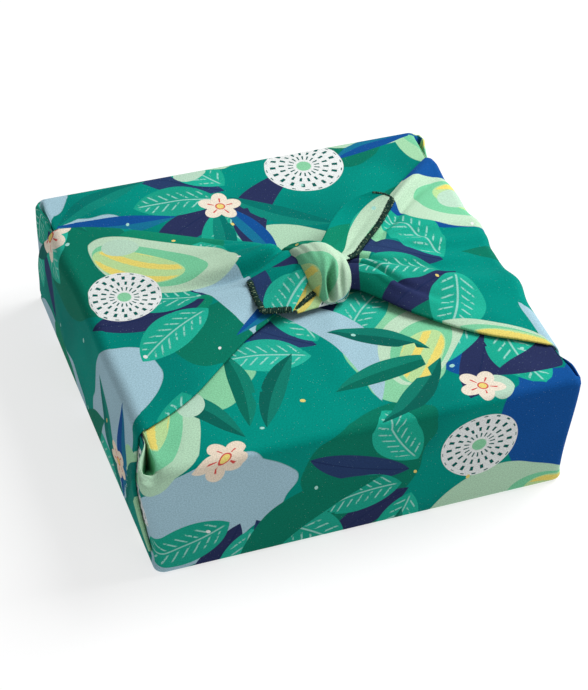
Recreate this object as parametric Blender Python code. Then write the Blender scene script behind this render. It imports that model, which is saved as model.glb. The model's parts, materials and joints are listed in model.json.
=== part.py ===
"""A furoshiki wrapped round a square gift box: one square of cloth, folded and tied, and the plain box
inside.

The cloth is worked out as a middle surface, in patches that share their borders, and is thickened
afterwards. The bottom and the four walls are a stack of closed loops. Each corner of a loop holds a
pleat of three layers: the cloth of the front or back wall turns the corner, runs along the side wall,
folds back at a hidden fold, and folds forward again at the side flap's visible edge. Above the walls the
front and back flaps lie on the lid with their tips turned under, and the two side flaps cross over them,
with turned-under edges, up to the knot.
"""

import math

import bmesh
import bpy
import numpy as np

# Driving sizes, in metres.
HALF_WIDTH = 0.1250        # half the parcel's width, front to back
LID_HEIGHT = 0.0800        # top of the cloth on the lid
CLOTH = 0.0010             # thickness of the cloth
LAYER = 0.0014             # from one layer of cloth to the next
EDGE_ROUND = 0.0040        # radius of the cloth at the upright and upper edges
FOOT_ROUND = 0.0030        # radius of the cloth at the lower edges
SIDE_SWELL = 0.0022        # how far the side walls swell outwards
BOX_HALF = (0.1175, 0.1210)
BOX_HEIGHT = 0.0735
BOX_EDGE = 0.0012
GAP = 0.0003               # between the box and the cloth under it

# Planes of the middle surface.
BASE_Z = CLOTH / 2
LID_Z = LID_HEIGHT - CLOTH / 2
WALL_Y = HALF_WIDTH - CLOTH / 2
SIDE_X = WALL_Y + LAYER            # the side flaps' outer layer
INNER_X = SIDE_X - 2 * LAYER       # the front and back cloth where it runs along the side walls
CENTRE_X = INNER_X - EDGE_ROUND    # centres of the upright edges' rounding
CENTRE_Y = WALL_Y - EDGE_ROUND
WALL_TOP = LID_Z - EDGE_ROUND
FOLD_R = LAYER / 2

# Steps of the mesh.
FRONT_STEPS = 8
SIDE_STEPS = 12
FLAP_STATIONS = 10
TUCK_STEPS = 9
TAIL_STEPS = 5
KNOT_SIDES = 12
HIDDEN_FOLD_ANGLES = (90, 180)
EDGE_FOLD_ANGLES = (60, 120, 180)
STRIP_FOLD_ANGLES = (180, 120, 60)
CORNER_ANGLES = (0, 30, 60, 90)
STRIP_SHARES = (1.0, 0.65, 0.3)    # a turned-under strip, from its free edge to its fold
TIP_SHARES = (0.3, 1.0)            # a turned-under tip, from its fold on
INNER_SHARES = (0.4, 0.85)         # where the inner layer's columns stand between corner and visible edge
MIDDLE_SHARES = (0.35, 0.7, 1.0)   # and the middle layer's, from the hidden fold back to the visible edge
STEP_HEIGHT = 0.0075               # the pleat is still a plain step here
STEP_SPACING = 0.0008              # between the columns of that step
WALL_HEIGHTS = (0.012, 0.019, 0.030, 0.044, 0.060, WALL_TOP)
MERGE_DISTANCE = 2e-5
SHARP_ANGLE = math.radians(50)

# The pleat at each upright edge, by height: distances along the side wall from the front or back wall.
PLEAT = ("height", "visible edge", "hidden fold")
PLEATS = {
    "front left": ((0.012, 0.009, 0.013), (0.019, 0.020, 0.032), (0.030, 0.031, 0.052),
                   (0.044, 0.036, 0.066), (0.060, 0.034, 0.078), (WALL_TOP, 0.033, 0.084)),
    "back left": ((0.012, 0.007, 0.0115), (0.019, 0.0072, 0.018), (0.030, 0.0082, 0.030),
                  (0.044, 0.012, 0.046), (0.060, 0.022, 0.064), (WALL_TOP, 0.036, 0.082)),
    "back right": ((0.012, 0.008, 0.012), (0.019, 0.013, 0.026), (0.030, 0.022, 0.044),
                   (0.044, 0.029, 0.062), (0.060, 0.033, 0.074), (WALL_TOP, 0.034, 0.082)),
    "front right": ((0.012, 0.008, 0.012), (0.019, 0.012, 0.024), (0.030, 0.018, 0.040),
                    (0.044, 0.024, 0.058), (0.060, 0.027, 0.070), (WALL_TOP, 0.028, 0.080)),
}

# The side flaps on the lid, by distance from the middle of the lid. "front" and "back" are the y of the
# folded edges, the lifts are heights over a flap that lies flat, "crown" is the arch between the edges, and
# "under" is the width of the turned-under cloth.
FLAP = ("x", "front", "back", "front lift", "back lift", "crown", "under")
LEFT_FLAP = (
    (0.1192, -0.0905, 0.0880, 0.0000, 0.0000, 0.0000, 0.030),
    (0.1060, -0.0845, 0.0850, 0.0004, 0.0006, 0.0004, 0.024),
    (0.0880, -0.0740, 0.0775, 0.0008, 0.0014, 0.0018, 0.020),
    (0.0630, -0.0535, 0.0640, 0.0010, 0.0022, 0.0045, 0.016),
    (0.0440, -0.0380, 0.0520, 0.0012, 0.0036, 0.0075, 0.012),
    (0.0260, -0.0270, 0.0400, 0.0020, 0.0060, 0.0100, 0.008),
    (0.0100, -0.0150, 0.0270, 0.0050, 0.0090, 0.0085, 0.006),
    (-0.0060, -0.0100, 0.0120, 0.0060, 0.0090, 0.0060, 0.004),
)
RIGHT_FLAP = (
    (0.1192, -0.0930, 0.0890, 0.0000, 0.0012, 0.0000, 0.030),
    (0.1060, -0.0850, 0.0775, 0.0004, 0.0030, 0.0006, 0.024),
    (0.0880, -0.0745, 0.0620, 0.0008, 0.0040, 0.0022, 0.020),
    (0.0700, -0.0600, 0.0450, 0.0012, 0.0046, 0.0045, 0.016),
    (0.0540, -0.0455, 0.0275, 0.0024, 0.0056, 0.0070, 0.012),
    (0.0400, -0.0300, 0.0110, 0.0040, 0.0066, 0.0085, 0.008),
    (0.0290, -0.0200, 0.0000, 0.0050, 0.0080, 0.0070, 0.006),
    (0.0180, -0.0160, -0.0030, 0.0050, 0.0080, 0.0050, 0.004),
)
# Creases that run from the knot over a side flap: where they cross the flap, from its front edge (0) to its
# back edge (1), how deep they are at the knot and how wide, as a share of the flap's width. Columns: place,
# depth, width.
LEFT_CREASES = ((0.56, 0.0046, 0.10),)
RIGHT_CREASES = ((0.36, 0.0034, 0.09), (0.66, 0.0036, 0.09))
CREASE_REACH = 0.075       # how far from the knot a crease runs
SLANT_SPACING = 0.0009     # more room between layers where a folded edge runs slantwise
SLANT_START = 0.040        # growing to that over this distance from the upper edge
LEFT_PEAK = 0.66           # where each side flap arches highest, from its front edge to its back edge
RIGHT_PEAK = 0.48

FRONT_FLAP_END = 0.0140    # y of the folds under the knot
BACK_FLAP_END = -0.0060
TIP_LENGTH = 0.100         # the turned-under tips
TIP_WIDTH = 0.020
DIP_START = 0.0330         # the back flap dips between these, to lie under the front one's end
DIP_END = 0.0200
SIDE_TAPER = 0.985         # the flaps grow this much narrower before they dip
UNDER_FLAP_DROP = 0.0025   # how much lower the wall cloth ends where a side flap runs over it
UNDER_FLAP_START = 0.012   # the drop starts this far ahead of the visible edge
UNDER_FLAP_EASE = 0.010
FIRST_TUCK = 0.20          # share of the tuck's depth that has formed where the corner's rounding ends
TUCK = ("from corner", "depth")
TUCKS = ((0.004, 0.0000), (0.014, 0.0060), (0.034, 0.0095), (0.084, 0.0100))
TUCK_LEAN = 0.2            # how far the tuck's outer side leans in on its way down, as a share of its width
TUCK_SKEW = 0.1            # how far its lowest place is off the middle
LIP = (0.0014, 0.0004)     # the tuck's inner side turns onto the lid over these last distances

# The knot's body. Columns: y, left side, right side, top, underside.
KNOT_BODY = (
    (0.0250, 0.0000, 0.0080, 0.0880, 0.0835),
    (0.0200, -0.0030, 0.0130, 0.0950, 0.0830),
    (0.0120, -0.0030, 0.0200, 0.1020, 0.0830),
    (0.0020, -0.0010, 0.0255, 0.1070, 0.0830),
    (-0.0080, 0.0000, 0.0280, 0.1080, 0.0830),
    (-0.0160, 0.0020, 0.0275, 0.1045, 0.0830),
    (-0.0220, 0.0055, 0.0245, 0.0970, 0.0832),
    (-0.0265, 0.0095, 0.0190, 0.0880, 0.0838),
)
KNOT_MIDDLE = 0.42         # height of a section's widest place, as a share of its whole height
KNOT_FLAT = -0.6           # a section is flat where the sine of its angle is lower

# The two free ends by section, from the knot out. Columns: a point on one edge, in the middle, on the far
# edge.
LEFT_TAIL = (
    ((0.006, -0.012, 0.0910), (0.005, -0.001, 0.0970), (0.003, 0.009, 0.0975)),
    ((0.000, -0.016, 0.0905), (-0.005, -0.004, 0.0965), (-0.008, 0.007, 0.0985)),
    ((-0.006, -0.021, 0.0890), (-0.014, -0.008, 0.0945), (-0.018, 0.0045, 0.0975)),
    ((-0.013, -0.026, 0.0875), (-0.021, -0.014, 0.0915), (-0.0285, -0.0005, 0.0945)),
    ((-0.021, -0.0275, 0.0865), (-0.0265, -0.021, 0.0885), (-0.0310, -0.011, 0.0905)),
    ((-0.029, -0.0272, 0.0858), (-0.0310, -0.0256, 0.0862), (-0.0322, -0.0230, 0.0868)),
)
RIGHT_TAIL = (
    ((0.024, -0.004, 0.0935), (0.020, 0.003, 0.0960), (0.016, 0.010, 0.0960)),
    ((0.033, 0.003, 0.0940), (0.029, 0.011, 0.0945), (0.023, 0.017, 0.0980)),
    ((0.044, 0.0115, 0.0945), (0.039, 0.0215, 0.0935), (0.032, 0.0275, 0.0990)),
    ((0.058, 0.0235, 0.0955), (0.051, 0.0325, 0.0945), (0.043, 0.0370, 0.1015)),
    ((0.0685, 0.032, 0.0965), (0.0615, 0.0395, 0.0985), (0.0525, 0.0420, 0.1035)),
    ((0.076, 0.0385, 0.0975), (0.068, 0.0435, 0.1020), (0.0590, 0.0445, 0.1045)),
)
TAIL_THICKNESS = 0.0012

# Each corner. Columns: the signs of its x and y, how far the wall cloth flares out at the top, and how far
# the lid cloth reaches out over it.
FLARE_START = 0.012        # height at which the flares start
FLARE_LENGTH = 0.85        # share of the way to the visible edge over which a flare fades
CORNERS = {
    "front left": (-1, -1, 0.0082, 0.0045),
    "back left": (-1, 1, 0.0015, 0.0),
    "back right": (1, 1, 0.0058, 0.0016),
    "front right": (1, -1, 0.0, 0.0),
}


def clear_scene():
    for old in list(bpy.data.objects):
        bpy.data.objects.remove(old, do_unlink=True)


def column(table, names, name):
    return np.array([row[names.index(name)] for row in table])


def curve(xs, ys, x):
    """A smooth line through points: cubic pieces whose slopes are the means of their neighbours' slopes."""
    order = np.argsort(xs)
    xs, ys = np.asarray(xs)[order], np.asarray(ys)[order]
    steps = np.diff(ys) / np.diff(xs)
    slopes = np.concatenate([steps[:1], (steps[1:] + steps[:-1]) / 2, steps[-1:]])
    slopes[1:-1][steps[1:] * steps[:-1] <= 0] = 0
    x = np.clip(x, xs[0], xs[-1])
    i = np.clip(np.searchsorted(xs, x) - 1, 0, len(xs) - 2)
    h = xs[i + 1] - xs[i]
    t = (x - xs[i]) / h
    rise = ys[i + 1] - ys[i]
    return (ys[i] + t * h * slopes[i] + t * t * (3 * rise - h * (2 * slopes[i] + slopes[i + 1]))
            + t ** 3 * (h * (slopes[i] + slopes[i + 1]) - 2 * rise))


def ease(share):
    share = min(max(share, 0.0), 1.0)
    return share * share * (3 - 2 * share)


def swell(y, z):
    """How far a side wall stands out of its plane: most in the middle of its height and width."""
    across = max(0.0, 1 - (y / WALL_Y) ** 2)
    return SIDE_SWELL * math.sin(math.pi * min(z / WALL_TOP, 1.0)) * across


def flare_at(corner, z):
    """How far the wall cloth stands out at a corner, growing from just over the floor to the upper edge."""
    return CORNERS[corner][2] * ease((z - FLARE_START) / (WALL_TOP - FLARE_START))


def flare_share(along, edge):
    """The share of a corner's flare that is left some way along the side wall: none at the visible edge."""
    return 1 - ease((along - EDGE_ROUND) / (FLARE_LENGTH * (edge - EDGE_ROUND)))


def inner_columns(edge, hidden):
    return [EDGE_ROUND + (edge - EDGE_ROUND) * share for share in INNER_SHARES] + [hidden]


# --- the bottom and the walls ---

def pleated_corner(corner, z):
    """Half a loop's corner, in the quadrant of positive x and y: from the front or back wall, round the edge,
    along the side wall to the hidden fold, back to the visible edge, and forward to the side flap's layer."""
    rows = PLEATS[corner]
    heights = column(rows, PLEAT, "height")
    edge = float(curve(heights, column(rows, PLEAT, "visible edge"), z))
    hidden = float(curve(heights, column(rows, PLEAT, "hidden fold"), z))
    flare = flare_at(corner, z)
    points = []
    for angle in np.radians(CORNER_ANGLES):
        x = CENTRE_X + flare + EDGE_ROUND * math.sin(angle)
        points.append((x, CENTRE_Y + EDGE_ROUND * math.cos(angle)))
    for along in inner_columns(edge, hidden):
        points.append((INNER_X + flare * flare_share(along, edge), WALL_Y - along))
    for angle in np.radians(HIDDEN_FOLD_ANGLES):
        x = INNER_X + FOLD_R - FOLD_R * math.cos(angle)
        points.append((x, WALL_Y - hidden - FOLD_R * math.sin(angle)))
    for share in MIDDLE_SHARES:
        points.append((INNER_X + LAYER, WALL_Y - hidden + (hidden - edge) * share))
    for angle in np.radians(EDGE_FOLD_ANGLES):
        x = INNER_X + 3 * FOLD_R - FOLD_R * math.cos(angle)
        points.append((x, WALL_Y - edge + FOLD_R * math.sin(angle)))
    return points


def plain_corner(inset, step):
    """The same corner near the bottom, where no cloth is folded: as many points, spread along a round corner.
    step is 1 where the side wall stands one pleat further out than the corner, and 0 at the floor."""
    inner = (1 - step) * WALL_Y + step * INNER_X - inset
    outer = (1 - step) * WALL_Y + step * SIDE_X - inset
    front = WALL_Y - inset - EDGE_ROUND
    points = []
    for angle in np.radians(CORNER_ANGLES):
        points.append((inner - EDGE_ROUND * (1 - math.sin(angle)), front + EDGE_ROUND * math.cos(angle)))
    spread = len(INNER_SHARES) + 1 + len(HIDDEN_FOLD_ANGLES) + len(MIDDLE_SHARES) + len(EDGE_FOLD_ANGLES)
    for number in range(1, spread + 1):
        out = ease((number - 2) / (spread - 3))
        points.append((inner + (outer - inner) * out, front - STEP_SPACING * number))
    return points


def between(start, end, steps):
    return [tuple(np.add(start, np.subtract(end, start) * k / steps)) for k in range(1, steps)]


def loop_at(z, corner_points):
    """A closed loop: front left corner, left wall, back left corner, back wall, and so on. The corners'
    points are given in the quadrant of positive x and y."""
    def placed(corner):
        sx, sy = CORNERS[corner][:2]
        return [(sx * x, sy * y) for x, y in corner_points[corner]]

    front_left, back_left = placed("front left"), placed("back left")
    back_right, front_right = placed("back right"), placed("front right")
    loop = list(front_left)
    loop += between(front_left[-1], back_left[-1], SIDE_STEPS)
    loop += back_left[::-1]
    loop += between(back_left[0], back_right[0], FRONT_STEPS)
    loop += back_right
    loop += between(back_right[-1], front_right[-1], SIDE_STEPS)
    loop += front_right[::-1]
    loop += between(front_right[0], front_left[0], FRONT_STEPS)
    points = []
    for x, y in loop:
        if abs(x) > CENTRE_X and abs(y) < CENTRE_Y:
            x += math.copysign(swell(y, z), x)
        points.append((x, y, z))
    return points


def wall_loops():
    part_way = FOOT_ROUND * (1 - math.sin(math.radians(45)))
    foot = [(BASE_Z, FOOT_ROUND, 0.0), (BASE_Z + part_way, part_way, 0.0),
            (BASE_Z + FOOT_ROUND, 0.0, 0.0), (STEP_HEIGHT, 0.0, 1.0)]
    loops = [loop_at(z, {name: plain_corner(inset, step) for name in CORNERS}) for z, inset, step in foot]
    for z in WALL_HEIGHTS:
        loops.append(loop_at(z, {name: pleated_corner(name, z) for name in CORNERS}))
    return loops


# --- the upper edges and the front and back flaps ---

def visible_edge(corner):
    return PLEATS[corner][-1][PLEAT.index("visible edge")]


def hidden_fold(corner):
    return PLEATS[corner][-1][PLEAT.index("hidden fold")]


def tuck_line(corner, along, depth, weight):
    """The cloth over a side wall's upper edge near a corner: up to a fold, down between the layers and up
    again onto the lid. Where weight falls to 0 the tuck gives way to a plain rounded edge. Under the
    side flap the fold stays inside the flap's rounding. Points are (x, z)."""
    edge = visible_edge(corner)
    share = flare_share(along, edge)
    out = CORNERS[corner][2] * share
    lid_out = CORNERS[corner][3] * share
    top = LID_Z - UNDER_FLAP_DROP * ease((along - edge + UNDER_FLAP_START) / UNDER_FLAP_EASE)
    outer = INNER_X + out
    inner = INNER_X - 2 * LAYER + lid_out
    width = outer - LAYER - inner
    low = LID_Z - 3 * FOLD_R - depth
    tuck = [
        (outer, WALL_TOP),
        (outer, top - FOLD_R),
        (outer - FOLD_R, top),
        (outer - LAYER, top - FOLD_R),
        (outer - LAYER - TUCK_LEAN * width, low),
        (inner + (0.5 - TUCK_SKEW) * width, low - FOLD_R),
        (inner, low),
        (inner, LID_Z - LIP[0]),
        (inner - LIP[1], LID_Z - LIP[1]),
        (CENTRE_X + lid_out, LID_Z),
    ]
    plain = []
    for k in range(TUCK_STEPS + 1):
        angle = math.radians(90 * k / TUCK_STEPS)
        x = CENTRE_X + lid_out + (EDGE_ROUND + out - lid_out) * math.cos(angle)
        plain.append((x, WALL_TOP + EDGE_ROUND * math.sin(angle)))
    return [tuple(np.add(np.multiply(a, weight), np.multiply(b, 1 - weight))) for a, b in zip(tuck, plain)]


def front_edge_line(corner, angle):
    """Where the front or back cloth turns onto the lid at its corner: x, y and z of one point of the
    rounding."""
    wall, lid = CORNERS[corner][2:]
    x = CENTRE_X + wall + (lid - wall) * math.sin(angle)
    return (x, CENTRE_Y + EDGE_ROUND * math.cos(angle), WALL_TOP + EDGE_ROUND * math.sin(angle))


def corner_tuck(corner):
    """Grid from the corner's rounding along the side wall's upper edge: rows go over the edge, columns
    along."""
    sx, sy = CORNERS[corner][:2]
    columns = []
    for turn in np.radians(CORNER_ANGLES[:-1]):
        line = []
        for k in range(TUCK_STEPS + 1):
            angle = math.radians(90 * k / TUCK_STEPS if turn > 0 else 30 * round(3 * k / TUCK_STEPS))
            x, _, z = front_edge_line(corner, angle)
            swing = EDGE_ROUND * math.cos(angle)
            line.append((x + swing * math.sin(turn), CENTRE_Y + swing * math.cos(turn), z))
        columns.append(line)
    alongs = [EDGE_ROUND] + inner_columns(visible_edge(corner), hidden_fold(corner))
    for number, along in enumerate(alongs):
        depth = float(curve(column(TUCKS, TUCK, "from corner"), column(TUCKS, TUCK, "depth"), along))
        y = WALL_Y - along
        line = []
        for k, (x, z) in enumerate(tuck_line(corner, along, depth, FIRST_TUCK if number == 0 else 1.0)):
            line.append((x + (swell(y, z) if k < 4 else 0.0), y, z))
        columns.append(line)
    return [[(sx * x, sy * y, z) for x, y, z in line] for line in columns]


def lid_flap(side, left, right, end, level):
    """The front (side -1) or back (side 1) flap: over the upper edge, across the lid, and its tip turned
    under. Its first rows meet the corner tucks' columns. level is how far it dips to lie under the other
    flap's end."""
    rows = []
    for angle in np.radians(CORNER_ANGLES):
        a, b = front_edge_line(left, angle), front_edge_line(right, angle)
        start, stop = (-a[0], side * a[1], a[2]), (b[0], side * b[1], b[2])
        rows.append([start] + between(start, stop, FRONT_STEPS) + [stop])
    stations = zip(*[inner_columns(visible_edge(name), hidden_fold(name)) for name in (left, right)])
    for a, b in stations:
        reach = [CENTRE_X + CORNERS[name][3] * flare_share(along, visible_edge(name))
                 for name, along in ((left, a), (right, b))]
        start, stop = (-reach[0], side * (WALL_Y - a), LID_Z), (reach[1], side * (WALL_Y - b), LID_Z)
        rows.append([start] + between(start, stop, FRONT_STEPS) + [stop])
    xs = [SIDE_TAPER * point[0] for point in rows[-1]]
    low = LID_Z - level
    under = low - LAYER
    lid_rows = [(side * DIP_START, LID_Z), (side * DIP_END, low), (end, low),
                (end - side * FOLD_R, low - FOLD_R), (end, under)]
    rows += [[(x, y, z) for x in xs] for y, z in lid_rows]
    for share in TIP_SHARES:
        narrow = 1 - share * (1 - TIP_WIDTH / (2 * CENTRE_X))
        rows.append([(x * narrow, end + side * TIP_LENGTH * share, under) for x in xs])
    return rows


# --- the side flaps ---

def folded_section(outer, under, spacing):
    """A flap's cross-section: the outer line, with a strip turned under at both ends, one layer below it."""
    outer = np.asarray(outer)
    tangents = np.gradient(outer, axis=0)
    tangents /= np.linalg.norm(tangents, axis=1)[:, None]
    normals = np.stack([-tangents[:, 1], tangents[:, 0]], 1)
    below = outer - normals * spacing
    radius = spacing / 2
    length = np.concatenate([[0], np.cumsum(np.linalg.norm(np.diff(below, axis=0), axis=1))])

    def strip(width, from_end):
        points = []
        for share in STRIP_SHARES:
            at = length[-1] - width * share if from_end else width * share
            points.append([np.interp(at, length, below[:, 0]), np.interp(at, length, below[:, 1])])
        return points

    def hairpin(k, direction):
        centre = outer[k] - normals[k] * radius
        turn = []
        for angle in np.radians(STRIP_FOLD_ANGLES):
            way = normals[k] * math.cos(angle) - direction * tangents[k] * math.sin(angle)
            turn.append(centre + radius * way)
        return turn

    front = strip(under, False) + hairpin(0, 1)
    back = strip(under, True) + hairpin(-1, -1)
    return np.array(front + list(outer) + back[::-1])


def flap_values(table, x):
    return {name: float(curve(column(table, FLAP, "x"), column(table, FLAP, name), x)) for name in FLAP[1:]}


def flap_outline(table, creases, x, knot_x, peak):
    """The outer line of a side flap's section at x: (y, z) from its front edge to its back edge."""
    v = flap_values(table, x)
    u = np.linspace(0, 1, SIDE_STEPS + 1)
    y = v["front"] + (v["back"] - v["front"]) * u
    rise, fall = max(1, peak / (1 - peak)), max(1, (1 - peak) / peak)
    arch = (u / peak) ** rise * ((1 - u) / (1 - peak)) ** fall
    z = LID_Z + 2 * LAYER + v["front lift"] * (1 - u) + v["back lift"] * u + v["crown"] * arch
    near = ease(1 - abs(x - knot_x) / CREASE_REACH)
    for place, depth, width in creases:
        z = z - depth * near * np.exp(-((u - place) / width) ** 2)
    return np.stack([y, z], 1)


def side_flap(side, loop, table, creases, peak):
    """The left (side -1) or right (side 1) flap: its section on the wall, over the edge, and up to the knot.
    loop is the walls' top loop from the front pleat's middle layer to the back pleat's middle layer."""
    def section(x):
        spacing = LAYER + SLANT_SPACING * ease((table[0][0] - x) / SLANT_START)
        outline = flap_outline(table, creases, x, table[-2][0], peak)
        return folded_section(outline, flap_values(table, x)["under"], spacing)

    rows = [loop]
    stations = np.linspace(table[0][0], table[-1][0], FLAP_STATIONS)
    for angle in np.radians((30, 60)):
        line = []
        for (_, y, _), (lid_y, lid_z) in zip(loop, section(stations[0])):
            radius = EDGE_ROUND + lid_z - LID_Z
            line.append((side * (CENTRE_X + radius * math.cos(angle)), y + (lid_y - y) * math.sin(angle),
                         WALL_TOP + radius * math.sin(angle)))
        rows.append(line)
    for x in stations:
        rows.append([(side * x, y, z) for y, z in section(x)])
    return rows


# --- meshes ---

def add_grid(bm, grid, closed=False):
    made = [[bm.verts.new(tuple(float(c) for c in point)) for point in row] for row in grid]
    width = len(grid[0])
    for upper, lower in zip(made, made[1:]):
        for k in range(width if closed else width - 1):
            following = (k + 1) % width
            bm.faces.new((upper[k], upper[following], lower[following], lower[k]))
    return made


def mesh_object(name, bm, smooth=True):
    mesh = bpy.data.meshes.new(name)
    bm.to_mesh(mesh)
    bm.free()
    if smooth:
        mesh.shade_smooth()
        mesh.set_sharp_from_angle(angle=SHARP_ANGLE)
    new = bpy.data.objects.new(name, mesh)
    bpy.context.scene.collection.objects.link(new)
    return new


def thicken(new, thickness):
    solidify = new.modifiers.new("thickness", "SOLIDIFY")
    solidify.thickness = thickness
    solidify.offset = 0.0
    return new


def folded_cloth():
    bm = bmesh.new()
    loops = wall_loops()
    made = add_grid(bm, loops, closed=True)
    bm.faces.new(made[0])
    for corner in CORNERS:
        add_grid(bm, corner_tuck(corner))
    add_grid(bm, lid_flap(-1, "front left", "front right", FRONT_FLAP_END, 0.0))
    add_grid(bm, lid_flap(1, "back left", "back right", BACK_FLAP_END, 2 * LAYER))
    top = loops[-1]
    corner_size = len(pleated_corner("front left", WALL_TOP))
    skip = len(CORNER_ANGLES) + len(INNER_SHARES) + len(HIDDEN_FOLD_ANGLES)
    left_end = 2 * corner_size + SIDE_STEPS - 1
    left = top[skip:left_end - skip]
    right_start = left_end + FRONT_STEPS - 1
    right = top[right_start + skip:right_start + left_end - skip][::-1]
    add_grid(bm, side_flap(-1, left, LEFT_FLAP, LEFT_CREASES, LEFT_PEAK))
    add_grid(bm, side_flap(1, right, RIGHT_FLAP, RIGHT_CREASES, RIGHT_PEAK))
    bmesh.ops.remove_doubles(bm, verts=bm.verts, dist=MERGE_DISTANCE)
    bmesh.ops.recalc_face_normals(bm, faces=bm.faces)
    return thicken(mesh_object("cloth", bm), CLOTH)


def knot_body():
    """A lump lofted along y: each section is an oval, flat underneath."""
    bm = bmesh.new()
    grid = []
    for y, left, right, top, bottom in KNOT_BODY:
        centre, half, rise = (left + right) / 2, (right - left) / 2, top - bottom
        section = []
        for k in range(KNOT_SIDES):
            angle = 2 * math.pi * k / KNOT_SIDES
            height = bottom
            if math.sin(angle) > KNOT_FLAT:
                height += rise * (KNOT_MIDDLE + (1 - KNOT_MIDDLE) * math.sin(angle))
            section.append((centre + half * math.cos(angle), y, height))
        grid.append(section)
    made = add_grid(bm, grid, closed=True)
    bm.faces.new(made[0])
    bm.faces.new(made[-1])
    bmesh.ops.recalc_face_normals(bm, faces=bm.faces)
    return mesh_object("knot_guide", bm)


def tail(name, table):
    """A free end: each section is a curve through its two edges and its middle, and the sections are joined
    by a smooth surface."""
    bm = bmesh.new()
    across = np.linspace(0, 1, TAIL_STEPS + 1)
    grid = []
    for edge, middle, far in table:
        edge, middle, far = map(np.array, (edge, middle, far))
        bend = 2 * middle - (edge + far) / 2
        grid.append([edge * (1 - t) ** 2 + bend * 2 * t * (1 - t) + far * t * t for t in across])
    add_grid(bm, grid)
    bmesh.ops.recalc_face_normals(bm, faces=bm.faces)
    return thicken(mesh_object(name, bm), TAIL_THICKNESS)


def unite(target, cutter):
    cutter.hide_render = True
    cutter.display_type = "WIRE"
    union = target.modifiers.new(cutter.name, "BOOLEAN")
    union.operation = "UNION"
    union.solver = "EXACT"
    union.use_self = True
    union.object = cutter


def box_inside():
    bm = bmesh.new()
    bmesh.ops.create_cube(bm, size=1.0)
    low = CLOTH + GAP
    for vertex in bm.verts:
        vertex.co.x *= 2 * BOX_HALF[0]
        vertex.co.y *= 2 * BOX_HALF[1]
        vertex.co.z = low if vertex.co.z < 0 else BOX_HEIGHT
    bmesh.ops.bevel(bm, geom=bm.edges[:], offset=BOX_EDGE, segments=1, affect="EDGES", profile=0.5)
    bmesh.ops.recalc_face_normals(bm, faces=bm.faces)
    return mesh_object("box", bm, smooth=False)


def finish(new, colour, roughness):
    material = bpy.data.materials.new(new.name)
    material.use_nodes = True
    shader = material.node_tree.nodes["Principled BSDF"]
    shader.inputs["Base Color"].default_value = (*colour, 1.0)
    shader.inputs["Roughness"].default_value = roughness
    shader.inputs["Metallic"].default_value = 0.0
    new.data.materials.append(material)


def main():
    clear_scene()
    cloth = folded_cloth()
    for piece in (knot_body(), tail("left_tail_guide", LEFT_TAIL), tail("right_tail_guide", RIGHT_TAIL)):
        unite(cloth, piece)
    finish(cloth, (0.010, 0.250, 0.180), 0.85)
    finish(box_inside(), (0.62, 0.52, 0.38), 0.80)


main()
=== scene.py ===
"""The looks of a furoshiki wrap on a gift box: the printed cloth folded round the box, its knot, its two free
ends with their overlocked hems, and the stage. Lengths are in metres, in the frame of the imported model."""

import json
import math

import bmesh
import bpy
import numpy as np
from bpy.props import FloatProperty, FloatVectorProperty, PointerProperty
from mathutils import Matrix, Vector

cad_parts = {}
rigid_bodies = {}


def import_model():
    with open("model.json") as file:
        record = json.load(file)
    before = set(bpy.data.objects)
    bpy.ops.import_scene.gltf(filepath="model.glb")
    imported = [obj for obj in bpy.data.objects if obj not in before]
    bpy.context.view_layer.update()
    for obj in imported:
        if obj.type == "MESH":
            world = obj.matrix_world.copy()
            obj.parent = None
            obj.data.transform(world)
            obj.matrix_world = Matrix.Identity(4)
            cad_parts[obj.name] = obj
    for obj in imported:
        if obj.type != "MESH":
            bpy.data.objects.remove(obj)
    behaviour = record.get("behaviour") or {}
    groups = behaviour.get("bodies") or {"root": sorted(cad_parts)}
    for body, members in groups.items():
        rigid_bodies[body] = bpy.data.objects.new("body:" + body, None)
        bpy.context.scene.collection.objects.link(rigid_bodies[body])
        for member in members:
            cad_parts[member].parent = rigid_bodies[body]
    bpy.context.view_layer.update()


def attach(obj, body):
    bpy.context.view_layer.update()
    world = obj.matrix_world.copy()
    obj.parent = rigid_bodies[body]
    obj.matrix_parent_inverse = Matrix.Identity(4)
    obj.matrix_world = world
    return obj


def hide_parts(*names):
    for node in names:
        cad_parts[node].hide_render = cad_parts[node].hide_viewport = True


bl_info = {
    "name": "Furoshiki wrap",
    "version": (1, 0, 0),
    "blender": (4, 5, 0),
    "location": "3D View > Sidebar > Furoshiki",
    "description": "Builds a printed cloth folded and tied round a gift box",
    "category": "Object",
}

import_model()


def mm(values):
    """Lengths in millimetres, to a tenth, as an array in metres."""
    return np.round(np.multiply(values, 10)) / 10000


def table(names, rows):
    """A table of lengths in millimetres, as one array in metres for each named column."""
    return dict(zip(names, mm(rows).T))


# --- sizes ---

HALF_WIDTH = 0.1250        # half the parcel's width, front to back
LID_HEIGHT = 0.0800        # top of the cloth on the lid
EDGE_ROUND = 0.0052        # radius of the cloth at the upright and upper edges
FOOT_ROUND = 0.0030        # radius of the cloth at the lower edges
SIDE_SWELL = 0.0022        # how far the side walls swell outwards
CLOTH_SIDE = 0.70          # the square of cloth, before it is folded

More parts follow.
